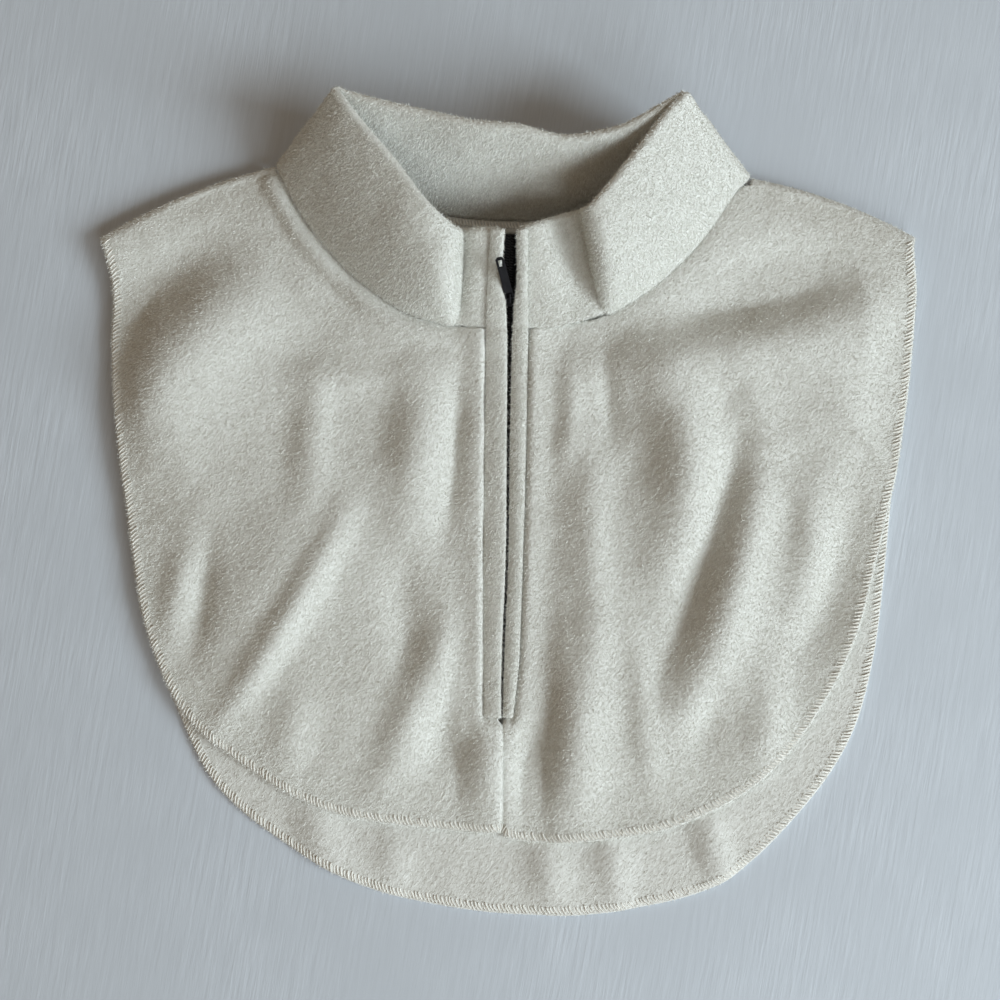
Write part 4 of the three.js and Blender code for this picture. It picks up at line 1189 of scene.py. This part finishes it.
def path_height(share):
    size = sizes()
    seam = (collar_top_y() - neck_front_y()) / size.zip_length
    y = collar_top_y() - share * size.zip_length
    top = COLLAR["top_z"][0] * size.collar_stand
    rising = lerp(top, size.front_neck_rise, np.clip(share / seam, 0, 1))
    return np.where(share < seam, rising, centre_height(y))


def path_frame(share):
    """Points of the zip's centre path, and the direction off its face"""
    y = collar_top_y() - share * sizes().zip_length
    points = vector(0.0, y, path_height(share))
    low = np.maximum(share - 0.01, 0)
    high = np.minimum(share + 0.01, 1)
    run_y = (high - low) * sizes().zip_length
    run_z = path_height(low) - path_height(high)
    return points, unit(vector(0.0, -run_z, run_y))


def below_seam(share):
    """Length along the zip from the neck seam to a share"""
    return share * sizes().zip_length - (collar_top_y() - neck_front_y())


def half_cloth(share):
    size = sizes()
    thinned = smooth(SEAM_PASS, SEAM_PASS + SEAM_FADE, below_seam(share))
    return lerp(size.collar_wall, size.fleece, thinned) / 2


def tape_top(share):
    ease = CORNER_EASE * bell(below_seam(share), SEAM_FADE / 2)
    return -half_cloth(share) - sizes().piece_gap - ease


def strip_rings(shares, left, right, profile):
    """Rings of a strip along the zip. A profile gives each point of the section as a share
    of the width, and its level."""
    base, normal = path_frame(shares)
    centre = zip_at(shares)["centre"]
    rings = []
    for across, level in profile:
        point = base + normal * level[:, None]
        point[:, 0] = centre + lerp(left, right, across)
        rings.append(point)
    return np.stack(rings, axis=1)


# How far a welt's crown leans to its fold, by side, and the steps along and across a welt
WELT_LEAN = {-1: 0.5, 1: 1.2}
WELT_STATIONS = 320
WELT_STEPS = 16


def welt_mesh(name, side):
    """A welt is a folded strip: full at its fold by the zip, thin where it tucks under"""
    size = sizes()
    shares = np.linspace(0, 1, WELT_STATIONS)
    spot = zip_at(shares)
    width = spot["left" if side < 0 else "right"]
    inner = side * spot["opening"]
    outer = side * (spot["opening"] + width)
    low = half_cloth(shares) + size.piece_gap
    sway = soft_noise(shares * size.zip_length, shares * 0, 14 * MM, finish().seed + 40 + side)
    tuck = smooth(0, 0.012, 1 - shares)
    full = (size.lip_wall + WELT_LOFT) * (0.6 + 0.4 * tuck) + sway * 0.2 * MM
    top = []
    under = []
    for k in range(WELT_STEPS + 1):
        across = (1 - math.cos(math.pi * k / WELT_STEPS)) / 2
        inside = 0 < k < WELT_STEPS
        crown = math.sin(math.pi * across ** WELT_LEAN[side]) ** 0.55 if inside else 0.0
        top.append((across, low + full * lerp(0.25, 1, crown)))
        under.append((across, low + full * lerp(0.25, 0, crown)))
    rings = strip_rings(shares, inner, outer, top + under[::-1]) + part_shift()
    return band_mesh(name, rings)


def tape_mesh(name, side):
    size = sizes()
    shares = np.linspace(TAPE_START, 1, 300)
    level = tape_top(shares)
    wall = 0.7 * MM
    edge = 0.25
    top = [(0, level - edge * wall), (0.06, level), (0.94, level), (1, level - edge * wall)]
    under = [(1, level - (1 - edge) * wall), (0.94, level - wall), (0.06, level - wall),
             (0, level - (1 - edge) * wall)]
    rings = strip_rings(shares, side * TAPE_PARTING, side * (TAPE_PARTING + size.tape_width),
                        top + under)
    return band_mesh(name, rings + part_shift())


# Operators, one for each piece or group of like pieces


class DICKEY_OT_front(bpy.types.Operator):
    """Makes the two front panels"""
    bl_idname = "dickey.front"
    bl_label = "Front Panels"

    def execute(self, context):
        half = sizes().fleece / 2
        for side, word, rim in ((-1, "left", LEFT_EDGE), (1, "right", RIGHT_EDGE)):
            points, normals = front_grid(rim, side)
            panel = cloth_piece(f"front_{word}", points, normals, half)
            declare_sheet(panel, f"front_{word}_panel")
        return {"FINISHED"}


class DICKEY_OT_back(bpy.types.Operator):
    """Makes the back panel"""
    bl_idname = "dickey.back"
    bl_label = "Back Panel"

    def execute(self, context):
        points, normals = back_grid()
        panel = cloth_piece("back", points, normals, sizes().fleece / 2)
        declare_sheet(panel, "back_panel")
        return {"FINISHED"}


class DICKEY_OT_collar(bpy.types.Operator):
    """Makes the collar, two layers folded at the top edge"""
    bl_idname = "dickey.collar"
    bl_label = "Collar"

    def execute(self, context):
        points, normals, inner_half = collar_grid()
        collar = cloth_piece("turtleneck", points, normals, sizes().collar_wall / 2,
                             inner_half=inner_half, arc=11, ends=(False, True))
        declare_sheet(collar, "collar")
        return {"FINISHED"}


class DICKEY_OT_welts(bpy.types.Operator):
    """Makes the two welts beside the zip"""
    bl_idname = "dickey.welts"
    bl_label = "Zip Welts"

    def execute(self, context):
        for side, word, area in ((-1, "left", 0.0024), (1, "right", 0.0019)):
            name = f"welt_{word}"
            welt = new_object(name, welt_mesh(name, side), material("fleece"))
            declare_sheet(welt, f"zip_lip_{word}")
        return {"FINISHED"}


class DICKEY_OT_tapes(bpy.types.Operator):
    """Makes the zip's two woven tapes"""
    bl_idname = "dickey.tapes"
    bl_label = "Zip Tapes"

    def execute(self, context):
        for side, word in ((-1, "left"), (1, "right")):
            name = f"tape_{word}"
            tape = new_object(name, tape_mesh(name, side), material("woven"))
            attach(tape, BODY)
            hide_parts(f"zip_tape_{word}")
        return {"FINISHED"}


def coil_path(name, shares, x):
    base, up = path_frame(shares)
    level = tape_top(shares) + COIL_RISE
    points = base + up * level[:, None]
    points[:, 0] = x
    return path_object(name, points + part_shift(), up)


class DICKEY_OT_coil(bpy.types.Operator):
    """Makes the zip's coil: closed below the slider, and a half on each tape above it"""
    bl_idname = "dickey.coil"
    bl_label = "Zip Coil"

    def execute(self, context):
        size = sizes()
        tree = tree_of("coil", lambda: bar_tree("Coil Turns", material("nylon")))
        half_slider = SLIDER_LENGTH / 2 / size.zip_length
        closed = np.linspace(SLIDER_STATION + half_slider,
                             1 - COIL_SETBACK / size.zip_length, 200)
        opened = np.linspace(TAPE_START, SLIDER_STATION - half_slider, 40)
        turns = {"Pitch": size.coil_pitch, "Thread": 0.62 * MM, "Along": 0.5 * MM,
                 "Across": 4 * MM, "Arch": 0.5 * MM, "Seed": finish().seed}
        halves = dict(turns, Across=2 * MM)
        parts = [apply_tree(coil_path("coil", closed, zip_at(closed)["centre"]), tree, turns,
                            "coil_closed", material("nylon"))]
        for side in (-1, 1):
            spot = zip_at(opened)
            x = spot["centre"] + side * (TAPE_PARTING + HALF_COIL_SETBACK)
            parts.append(apply_tree(coil_path("coil", opened, x), tree, halves,
                                    "coil_half", material("nylon")))
        coil = join_pieces(parts, "coil_turns")
        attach(coil, BODY)
        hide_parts("zip_coil")
        return {"FINISHED"}


def join_pieces(parts, name):
    """Joins plain meshes with one material into one piece"""
    whole = bmesh.new()
    for part in parts:
        whole.from_mesh(part.data)
    mesh = bpy.data.meshes.new(name)
    whole.to_mesh(mesh)
    whole.free()
    made = new_object(name, mesh, parts[0].data.materials[0])
    for part in parts:
        bpy.data.objects.remove(part)
    return made


# Angles at which an edge of a hard piece is eased, and at which it stays sharp in shading
EASED_ANGLE = math.radians(25)
SHARP_ANGLE = math.radians(20)


def eased_copy(node_name, name, radius):
    """A copy of a hard node with its edges rounded over"""
    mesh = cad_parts[node_name].data.copy()
    mesh.name = name
    shape = bmesh.new()
    shape.from_mesh(mesh)
    bmesh.ops.remove_doubles(shape, verts=shape.verts, dist=1e-7)
    sharp = [edge for edge in shape.edges
             if edge.is_manifold and edge.calc_face_angle() > EASED_ANGLE]
    bmesh.ops.bevel(shape, geom=sharp, offset=radius, segments=2, affect="EDGES", profile=0.6,
                    clamp_overlap=True)
    bmesh.ops.recalc_face_normals(shape, faces=shape.faces)
    shape.to_mesh(mesh)
    shape.free()
    mesh.shade_smooth()
    mesh.set_sharp_from_angle(angle=SHARP_ANGLE)
    return new_object(name, mesh, material("enamel"))


class DICKEY_OT_slider(bpy.types.Operator):
    """Makes the zip's slider and its pull"""
    bl_idname = "dickey.slider"
    bl_label = "Zip Slider"

    def execute(self, context):
        for node_name, name, body, radius in (
                ("zip_slider", "slider", BODY, 0.28 * MM),
                ("zip_pull", "pull_tab", "pull", 0.2 * MM)):
            piece = eased_copy(node_name, name, radius)
            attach(piece, body)
            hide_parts(node_name)
        return {"FINISHED"}


# The seam tape: where it starts and ends along the neck, its width and its wall
SEAM_TAPE_FROM = 0.1
SEAM_TAPE_WIDTH = 4 * MM
SEAM_TAPE_WALL = 1.2 * MM


def seam_tape_mesh(name):
    """The band that covers the back of the neck seam, rounded over"""
    size = sizes()
    turns = np.linspace(SEAM_TAPE_FROM, 1 - SEAM_TAPE_FROM, 260)
    first = size.collar_wall / 2 + size.piece_gap
    count = 9
    across = np.linspace(0, 1, count)
    distance = first + across * SEAM_TAPE_WIDTH
    _, span, _, _ = ray_point(BACK_RIM, size.back_length, turns, np.zeros_like(turns))
    turn, step = np.meshgrid(turns, distance, indexing="ij")
    points = back_point(turn, step / span[:, None])
    base = points + np.array([0, 0, size.fleece / 2 + size.piece_gap])
    crown = SEAM_TAPE_WALL * (0.35 + 0.65 * np.sin(math.pi * across) ** 0.6)
    top = base + crown[None, :, None] * np.array([0, 0, 1.0])
    rings = np.concatenate([top, base[:, ::-1]], axis=1) + part_shift()
    path = top[:, count // 3] + part_shift()
    return band_mesh(name, rings), path


class DICKEY_OT_seam_tape(bpy.types.Operator):
    """Makes the serged tape inside the back of the neck"""
    bl_idname = "dickey.seam_tape"
    bl_label = "Neck Seam Tape"

    def execute(self, context):
        mesh, path = seam_tape_mesh("seam_band")
        band = new_object("seam_band", mesh, material("fleece"))
        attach(band, BODY)
        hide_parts("neck_seam_tape")
        up = np.broadcast_to(np.array([0, 0, 1.0]), path.shape)
        tree = tree_of("overlock", overlock_tree)
        row = {"Pitch": 1.6 * MM, "Width": 2.6 * MM, "Thread": 0.75 * MM, "Edge": 0.3 * MM,
               "Slant": 0.6 * MM, "Seed": finish().seed + 60}
        stitches = apply_tree(path_object("seam", path[::-1], up), tree, row,
                              "seam_band_stitches", material("thread"))
        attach(stitches, BODY)
        return {"FINISHED"}


def hem_path(name, points, normals, side):
    """The rim of a panel, walked so that the cloth lies to the right"""
    edge = points[:, -1]
    up = normals[:, -1]
    walk = slice(None, None, -1) if side < 0 else slice(None)
    return path_object(name, (edge + part_shift())[walk], up[walk])


class DICKEY_OT_overlock(bpy.types.Operator):
    """Makes the overlock stitches round the hems and the side edges"""
    bl_idname = "dickey.overlock"
    bl_label = "Overlock Stitches"

    def execute(self, context):
        look = finish()
        half = sizes().fleece / 2
        tree = tree_of("overlock", overlock_tree)
        stitch = {"Pitch": look.stitch_pitch, "Width": look.stitch_width,
                  "Thread": 0.62 * MM, "Edge": half + 0.15 * MM, "Slant": 1 * MM}
        rims = [("front_left", front_grid(LEFT_EDGE, -1), -1, SHOULDER_ROWS, None),
                ("front_right", front_grid(RIGHT_EDGE, 1), 1, SHOULDER_ROWS, None),
                ("back", back_grid(), -1, SHOULDER_ROWS, -SHOULDER_ROWS)]
        for k, (name, (points, normals), side, start, stop) in enumerate(rims):
            rim = hem_path(name, points[start:stop], normals[start:stop], side)
            values = dict(stitch, Seed=look.seed + 70 + k)
            stitches = apply_tree(rim, tree, values, f"{name}_overlock", material("thread"))
            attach(stitches, BODY)
        return {"FINISHED"}


# Fibres strewn over each cloth piece
PILE_COUNTS = [
    ("front_left", 130000), ("front_right", 130000), ("turtleneck", 125000), ("back", 74000),
    ("welt_left", 12000), ("welt_right", 12000),
]
PILE_WIDTH = 0.22 * MM


class DICKEY_OT_pile(bpy.types.Operator):
    """Makes the nap's fibres on the cloth that shows"""
    bl_idname = "dickey.pile"
    bl_label = "Pile"

    def execute(self, context):
        look = finish()
        tree = tree_of("pile", pile_tree)
        for k, (name, count) in enumerate(PILE_COUNTS):
            cloth = bpy.data.objects[name]
            base = new_object(f"{name}_base", cloth.data.copy())
            area = sum(face.area for face in base.data.polygons if face.normal.z > -0.3)
            values = {"Density": count / area, "Length": look.pile_length,
                      "Width": PILE_WIDTH, "Lean": 0.9, "Seed": look.seed + 80 + k}
            pile = apply_tree(base, tree, values, f"{name}_pile", material("pile"))
            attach(pile, BODY)
        return {"FINISHED"}


# The stage: a camera straight above, two windows at the right, a weak ceiling and a soft room
FLOOR_SIZE = 4.0
CAMERA_X = -4.2 * MM
CAMERA_Y = 7.67 * MM
CAMERA_HEIGHT = 560 * MM
FRAME_WIDTH = 500 * MM
ROOM_COLOUR = (1.0, 0.7, 0.42, 1.0)
ROOM_STRENGTH = 0.16

# Lights: name, azimuth and elevation in degrees, distance and side in metres, watts, colour
LIGHTS = [
    ("window", -18, 28, 2.8, 1.1, 74, (0.87, 0.97, 1.02)),
    ("far_window", -55, 29, 2.8, 1.8, 36, (0.9, 0.98, 1.02)),
    ("ceiling", 100, 70, 2.2, 1.2, 4, (1.0, 0.95, 0.88)),
]


def add_light(name, azimuth, elevation, distance, side, watts, colour):
    lamp = bpy.data.lights.new(name, "AREA")
    lamp.size = side
    lamp.energy = watts
    lamp.color = colour
    seat = bpy.data.objects.new(name, lamp)
    turn = math.radians(azimuth)
    rise = math.radians(elevation)
    way = Vector((math.cos(turn) * math.cos(rise), math.sin(turn) * math.cos(rise),
                  math.sin(rise)))
    seat.location = way * distance
    seat.rotation_euler = way.to_track_quat("Z", "Y").to_euler()
    bpy.context.scene.collection.objects.link(seat)


class DICKEY_OT_stage(bpy.types.Operator):
    """Sets the floor, the lights and the camera"""
    bl_idname = "dickey.stage"
    bl_label = "Stage"

    def execute(self, context):
        scene = context.scene
        bpy.ops.mesh.primitive_plane_add(size=FLOOR_SIZE)
        floor = context.active_object
        floor.name = "floor"
        floor.data.materials.append(material("board"))
        for row in LIGHTS:
            add_light(*row)
        world = bpy.data.worlds.new("soft_room")
        world.use_nodes = True
        background = world.node_tree.nodes["Background"]
        background.inputs["Color"].default_value = ROOM_COLOUR
        background.inputs["Strength"].default_value = ROOM_STRENGTH
        scene.world = world
        scene.view_settings.view_transform = "Standard"
        camera = bpy.data.cameras.new("camera")
        camera.angle = 2 * math.atan(FRAME_WIDTH / 2 / CAMERA_HEIGHT)
        seat = bpy.data.objects.new("camera", camera)
        seat.location = (CAMERA_X, CAMERA_Y, CAMERA_HEIGHT)
        scene.collection.objects.link(seat)
        scene.camera = seat
        return {"FINISHED"}


class DICKEY_PT_panel(bpy.types.Panel):
    """Lists the dickey's sizes, its finish and its pieces"""
    bl_label = "Fleece Dickey"
    bl_idname = "DICKEY_PT_panel"
    bl_space_type = "VIEW_3D"
    bl_region_type = "UI"
    bl_category = "Dickey"

    def draw(self, context):
        layout = self.layout
        for group in (context.scene.dickey_sizes, context.scene.dickey_finish):
            box = layout.box()
            for name in group.__annotations__:
                box.prop(group, name)
        for operator in OPERATORS:
            layout.operator(operator.bl_idname)


OPERATORS = [
    DICKEY_OT_stage, DICKEY_OT_back, DICKEY_OT_front, DICKEY_OT_collar, DICKEY_OT_seam_tape,
    DICKEY_OT_welts, DICKEY_OT_tapes, DICKEY_OT_coil, DICKEY_OT_slider, DICKEY_OT_overlock,
    DICKEY_OT_pile,
]
CLASSES = [DickeySizes, DickeyFinish, *OPERATORS, DICKEY_PT_panel]


def register():
    for item in CLASSES:
        bpy.utils.register_class(item)
    bpy.types.Scene.dickey_sizes = PointerProperty(type=DickeySizes)
    bpy.types.Scene.dickey_finish = PointerProperty(type=DickeyFinish)


def unregister():
    del bpy.types.Scene.dickey_finish
    del bpy.types.Scene.dickey_sizes
    for item in reversed(CLASSES):
        bpy.utils.unregister_class(item)


def main():
    register()
    for operator in OPERATORS:
        group, name = operator.bl_idname.split(".")
        getattr(getattr(bpy.ops, group), name)()


if __name__ == "__main__":
    main()
